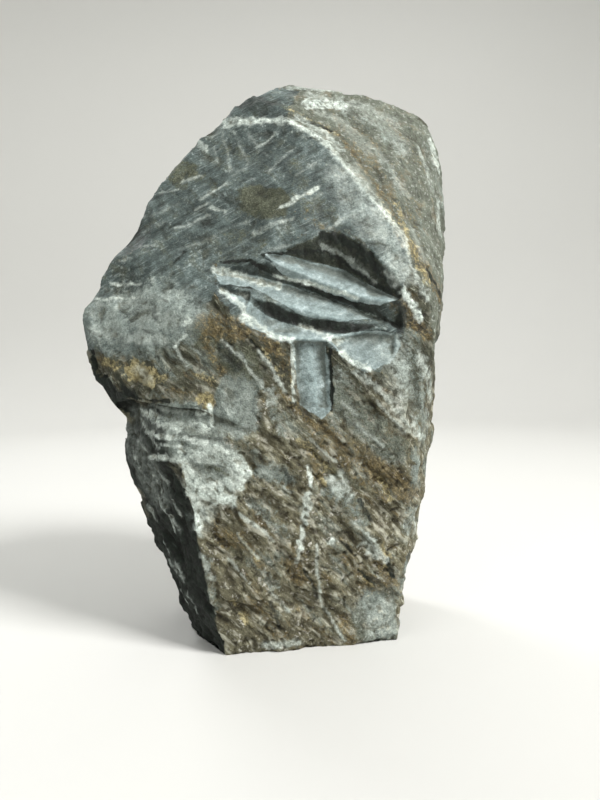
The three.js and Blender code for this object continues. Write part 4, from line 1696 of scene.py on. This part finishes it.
@dataclass(frozen=True)
class SoapstoneFinish:
    """The stone's colours, each from its darkest to its lightest, and its gloss and finest relief."""

    olive: Palette = ("1f2018", "2c2d22", "3a3b2e", "494a3d", "5f604f", "838573")
    tan: Palette = ("2d2a1f", "454232", "5a5745", "6e6b57", "8a8771", "b2b09a")
    grey: Palette = ("3c423e", "525b57", "646e69", "76807a", "8a938d", "a8b0aa")
    blue: Palette = ("232b29", "343d3b", "434d4b", "535e5b", "667270", "8b9694")
    film: Palette = ("22251b", "303326", "3c3f30", "494c3c", "5a5d4c", "757867")
    cheek: Palette = ("34362e", "474a40", "565a4f", "656a5f", "798075", "9da69c")
    floor: Palette = ("4f5c5a", "677473", "788685", "8a9897", "a0adad", "c9d5d5")
    rust: Palette = ("231d10", "3c331f", "4f4328", "625434", "7b6d4b", "9d906f")
    ochre: Palette = ("554b2f", "6d6344", "867c57", "9c926b", "b1a780", "cbc29b")
    # Near-black shades for the painted shade and for the stone's own dark rock.
    shade_and_dark: Palette = ("080a08", "0f120f", "151a15", "1c221c", "262c27", "3e4640")
    pale: Palette = ("87938c", "a3ada6", "bac4bc", "ccd5cd", "dce5dd", "eef5ef")
    skin_thread: str = "aeae9b"
    skin_ledge: str = "b3b2a2"
    skin_fleck: str = "bcbab0"
    skin_pit: str = "211d15"
    scratch_lit: str = "a3aeab"
    scratch_dark: str = "2d3836"
    blue_pit: str = "2c3835"
    blue_fleck: str = "a9b4b0"
    cheek_earth: str = "685a40"
    cheek_fleck: str = "c6cbc4"
    # Painted shadow for the gaps between the skin's layers.
    gap_shade: Colour = (0.36, 0.34, 0.30, 1.0)
    # Painted shade for the hollows and painted highlight for the proud edges.
    dirt_shade: Colour = (0.36, 0.33, 0.27, 1.0)
    wear_shade: Colour = (1.5, 1.52, 1.55, 1.0)
    roughness: float = 0.84
    unevenness: float = 1.2
    polish: float = 0.18
    gloss: float = 0.35
    finest_relief: float = 1.6

    def material(self) -> bpy.types.Material:
        """Make the material.

        Returns:
            The material.
        """
        recipe = Recipe("soapstone")
        grains = Grains(recipe)
        # Painted shade in the hollows and painted highlights on the proud edges.
        body = self.worn(recipe, self.toned(grains))
        smooth = (recipe.attribute(Tone.BLUE.value) + recipe.attribute(Tone.FRESH.value)).clamped()
        uneven = self.unevenness * (grains.mottle - 0.5)
        roughness = (self.roughness - self.polish * smooth + uneven).clamped()
        height = grains.total(weave=0.15, mottle=0.55, grain=0.3) * (1.0 - 0.4 * smooth)
        relief = recipe.node("ShaderNodeBump", None, Strength=1.0, Distance=self.finest_relief * MM,
                             Height=height)
        shader = recipe.node("ShaderNodeBsdfPrincipled", None, Base_Color=body, Roughness=roughness,
                             Normal=relief.outputs[0], Specular_IOR_Level=self.gloss)
        recipe.node("ShaderNodeOutputMaterial", None, Surface=shader.outputs[0])
        return recipe.made

    def toned(self, grains: Grains) -> Socket:
        """Lay every tone over the stone's skin, where the mesh says.

        Args:
            grains: the stone's noises.

        Returns:
            The colour.
        """
        recipe = grains.recipe
        colours = self.plain_colours(grains)
        colours[Tone.BLUE] = self.blue_face(grains, colours[Tone.FILM])
        colours[Tone.CHEEK] = self.cheek_face(grains)
        body = self.skin(grains, colours[Tone.GREY], colours[Tone.RUST])
        edge = grains.total(middle=0.35, mottle=0.35, grain=0.3)
        for coat in COATS:
            body = recipe.mixed(coat.share(recipe, edge), body, colours[coat.tone])
        clumps = 1.0 + 3.0 * (grains.total(middle=0.3, mottle=0.3, grain=0.4) - 0.5)
        talc = (recipe.attribute(Tone.PALE.value) * clumps).clamped()
        return recipe.mixed(talc, body, colours[Tone.PALE])

    def plain_colours(self, grains: Grains) -> dict[Tone, Socket]:
        """Make the tones that are one palette each.

        Args:
            grains: the stone's noises.

        Returns:
            The colour of each such tone.
        """
        swatch, spread = grains.recipe.swatch, grains.spread
        return {
            Tone.GREY: swatch(spread(3.6, middle=0.4, mottle=0.3, sand=0.3), self.grey),
            Tone.FILM: swatch(spread(3.6, middle=0.3, mottle=0.3, sand=0.4), self.film),
            Tone.RUST: swatch(spread(3.2, weave=0.5, grain=0.5), self.rust),
            Tone.OCHRE: swatch(spread(3.2, middle=0.3, mottle=0.4, grain=0.3), self.ochre),
            Tone.DARK: swatch(spread(3.4, middle=0.35, mottle=0.35, weave=0.3), self.shade_and_dark),
            Tone.FRESH: swatch(spread(3.2, scrape=0.3, mottle=0.4, middle=0.3), self.floor),
            Tone.PALE: swatch(spread(3.4, middle=0.4, mottle=0.35, grain=0.25), self.pale),
        }

    def skin(self, grains: Grains, grey: Socket, rust: Socket) -> Socket:
        """Colour the weathered skin: layered tan and olive, with rust, threads, ledges and flecks.

        Args:
            grains: the stone's noises.
            grey: the colour of its grey layers.
            rust: the colour of its rusty layers.

        Returns:
            The colour.
        """
        recipe = grains.recipe
        layers = grains.spread(3.7, broad=0.2, streak=0.3, weave=0.15, mottle=0.2, sand=0.15)
        low = recipe.eased(recipe.height(grains.still) * 0.01 + 0.6 * (grains.broad - 0.5), 1.45, 1.0)
        skin = recipe.mixed(low, recipe.swatch(layers, self.olive), recipe.swatch(layers, self.tan))
        ash = grains.total(streak=0.6, broad=0.4)
        skin = recipe.mixed(0.7 * recipe.eased(ash, 0.51, 0.61), skin, grey)
        skin = recipe.mixed(0.6 * recipe.eased(grains.stain, 0.54, 0.66), skin, rust)
        vein = recipe.band(grains.place, BEDS, (6.0, 40.0, 30.0), detail=3.0, roughness=0.5, lift=31.0)
        thread = recipe.eased(abs(vein - 0.5), 0.014, 0.002) * recipe.eased(grains.mottle, 0.47, 0.58)
        skin = recipe.mixed(0.5 * thread, skin, paint(self.skin_thread))
        seam = recipe.band(grains.place, BEDS, (3.0, 10.0, 8.0), detail=2.0, roughness=0.5, lift=41.0)
        ledge = recipe.eased(seam, 0.54, 0.68) * (0.25 + 0.4 * low)
        skin = recipe.mixed(ledge, skin, paint(self.skin_ledge))
        # Painted shadow in the gaps between the layers, stronger where the skin is low.
        gap = recipe.eased(seam, 0.46, 0.32) * (0.4 + 0.35 * low)
        skin = recipe.mixed(gap, skin, self.gap_shade, "MULTIPLY")
        flecks = grains.fleck * recipe.eased(grains.middle, 0.44, 0.60)
        flecks = flecks * recipe.eased(low + 0.5 * grains.streak, 0.1, 1.2)
        skin = recipe.mixed(0.75 * flecks, skin, paint(self.skin_fleck))
        pits = recipe.eased(grains.mottle + 0.4 * (grains.grain - 0.5), 0.39, 0.30)
        return recipe.mixed(0.8 * pits, skin, paint(self.skin_pit))

    def blue_face(self, grains: Grains, film: Socket) -> Socket:
        """Colour the blue-grey face: mottled, filmed over in places, scratched and pitted.

        Args:
            grains: the stone's noises.
            film: the colour of its film.

        Returns:
            The colour.
        """
        recipe = grains.recipe
        shade = grains.spread(4.6, broad=0.2, middle=0.2, mottle=0.2, sand=0.15, scrape=0.25)
        filmed = recipe.eased(grains.total(middle=0.5, stain=0.5), 0.50, 0.62)
        face = recipe.mixed(0.55 * filmed, recipe.swatch(shade, self.blue), film)
        line = recipe.band(grains.still, RASP_COLOUR, (9.0, 6.0, 0.8), detail=3.0, roughness=0.6, lift=13.0)
        face = recipe.mixed(0.35 * recipe.eased(line, 0.58, 0.70), face, paint(self.scratch_lit))
        face = recipe.mixed(0.4 * recipe.eased(line, 0.42, 0.30), face, paint(self.scratch_dark))
        face = recipe.mixed(0.7 * recipe.eased(grains.mottle, 0.36, 0.28), face, paint(self.blue_pit))
        flecks = grains.fleck * recipe.eased(grains.middle, 0.45, 0.6)
        return recipe.mixed(0.4 * flecks, face, paint(self.blue_fleck))

    def cheek_face(self, grains: Grains) -> Socket:
        """Colour the tan cheek: speckled, with earthy clouds and pale flecks.

        Args:
            grains: the stone's noises.

        Returns:
            The colour.
        """
        recipe = grains.recipe
        speckle = grains.spread(3.4, broad=0.2, middle=0.3, mottle=0.3, sand=0.2)
        face = recipe.swatch(speckle, self.cheek)
        face = recipe.mixed(0.5 * recipe.eased(grains.middle, 0.52, 0.66), face, paint(self.cheek_earth))
        return recipe.mixed(0.3 * grains.fleck, face, paint(self.cheek_fleck))

    def worn(self, recipe: Recipe, body: Socket) -> Socket:
        """Paint shade into the hollows and paint highlights on the proud edges."""
        hollow = recipe.attribute(HOLLOW)
        body = recipe.mixed(0.75 * recipe.eased(hollow, 0.05, 1.0), body, self.dirt_shade, "MULTIPLY")
        return recipe.mixed(0.5 * recipe.eased(hollow, 0.0, -1.0), body, self.wear_shade, "MULTIPLY")


@dataclass(frozen=True)
class Lamp:
    """A square lamp: its place, aim and side in metres, its power in watts, its beam in degrees."""

    name: str
    place: Triple
    size: float
    power: float
    shade: Triple
    aim: Triple = (0.0, 0.0, 0.14)
    beam: float = 130.0

    def hang(self) -> None:
        """Hang the lamp and point it."""
        bpy.ops.object.light_add(type="AREA", location=self.place)
        lamp = bpy.context.view_layer.objects.active
        lamp.name = self.name
        lamp.data.size = self.size
        lamp.data.energy = self.power
        lamp.data.color = self.shade
        lamp.data.spread = math.radians(self.beam)
        lamp.visible_camera = False
        lamp.rotation_mode = "QUATERNION"
        lamp.rotation_quaternion = (Vector(self.aim) - Vector(self.place)).to_track_quat("-Z", "Y")


LAMPS: tuple[Lamp, ...] = (
    Lamp("key", place=(0.80, -0.55, 1.10), size=0.35, power=13.0, shade=(1.0, 0.99, 0.975)),
    Lamp("backdrop", place=(0.1, 0.75, 1.25), size=0.8, power=8.5, shade=(1.0, 1.0, 0.99),
         aim=(0.0, 1.6, 0.2), beam=180.0),
    Lamp("fill", place=(-0.85, -0.85, 0.95), size=0.9, power=2.2, shade=(0.95, 0.98, 1.0)),
    Lamp("rim", place=(-0.75, 0.85, 1.15), size=0.5, power=5.0, shade=(1.0, 1.0, 1.0)),
)


@dataclass(frozen=True)
class Studio:
    """The pale floor that sweeps up behind the stone, the soft lights and the camera."""

    viewpoint: Viewpoint
    floor_reach: float = 1.5
    wall_height: float = 1.3
    sweep: float = 0.5
    sweep_steps: int = 12
    rim_corners: int = 96
    floor_shade: str = "cfcfcc"
    floor_roughness: float = 0.9
    sky_shade: Colour = (0.94, 0.97, 1.0, 1.0)
    sky_strength: float = 0.38
    sensor: float = 36.0
    nearest: float = 0.01

    def build(self) -> None:
        """Build the floor, the lights and the camera."""
        self.floor()
        for lamp in LAMPS:
            lamp.hang()
        self.sky()
        self.camera()

    def floor(self) -> None:
        """Sweep a floor and a round wall as one smooth bowl."""
        flat = self.floor_reach - self.sweep
        bpy.ops.object.select_all(action="DESELECT")
        bpy.ops.mesh.primitive_circle_add(vertices=self.rim_corners, radius=flat, fill_type="NGON",
                                          location=(0, 0, 0))
        ground = bpy.context.view_layer.objects.active
        ground.name = "floor"
        bpy.ops.object.mode_set(mode="EDIT")
        radius, height = flat, 0.0
        for step in range(1, self.sweep_steps + 1):
            angle = math.pi / 2 * step / self.sweep_steps
            wider = flat + self.sweep * math.sin(angle)
            higher = self.sweep * (1 - math.cos(angle))
            self.ring(wider / radius, higher - height)
            radius, height = wider, higher
        self.ring(1.0, self.wall_height - height)
        bpy.ops.mesh.select_all(action="SELECT")
        bpy.ops.mesh.normals_make_consistent(inside=True)
        bpy.ops.object.mode_set(mode="OBJECT")
        bpy.ops.object.shade_smooth()
        recipe = Recipe("floor")
        shader = recipe.node("ShaderNodeBsdfPrincipled", None, Base_Color=paint(self.floor_shade),
                             Roughness=self.floor_roughness)
        recipe.node("ShaderNodeOutputMaterial", None, Surface=shader.outputs[0])
        ground.data.materials.append(recipe.made)

    def ring(self, wider: float, higher: float) -> None:
        """Extrude the selected rim outwards by a factor and upwards by a length."""
        bpy.ops.mesh.extrude_region_move(TRANSFORM_OT_translate={"value": (0, 0, higher)})
        bpy.ops.transform.resize(value=(wider, wider, 1.0), center_override=(0, 0, 0))

    def sky(self) -> None:
        """Light the whole scene a little and evenly."""
        world = bpy.data.worlds.new("sky")
        world.use_nodes = True
        back = world.node_tree.nodes["Background"]
        back.inputs["Color"].default_value = self.sky_shade
        back.inputs["Strength"].default_value = self.sky_strength
        bpy.context.scene.world = world
        bpy.context.scene.view_settings.view_transform = "Standard"

    def camera(self) -> None:
        """Set up the camera at eye height in front of the stone."""
        view = self.viewpoint
        bpy.ops.object.camera_add(location=view.eye)
        camera = bpy.context.view_layer.objects.active
        camera.name = "camera"
        camera.data.sensor_width = self.sensor
        camera.data.lens = self.sensor * view.focal_pixels / max(view.columns, view.rows)
        camera.data.clip_start = self.nearest
        camera.rotation_mode = "QUATERNION"
        camera.rotation_quaternion = view.turn().to_quaternion()
        bpy.context.scene.camera = camera


def main() -> None:
    """Build the stone and its studio."""
    logging.basicConfig(level=logging.INFO, format="%(name)s: %(message)s")
    viewpoint = Viewpoint()
    stone = SoapstoneBlock(viewpoint).build()
    LOG.info("%s: %d points, %d faces", stone.name, len(stone.data.vertices), len(stone.data.polygons))
    Studio(viewpoint).build()
    LOG.info("studio: floor, lights and camera")


if __name__ == "__main__":
    main()
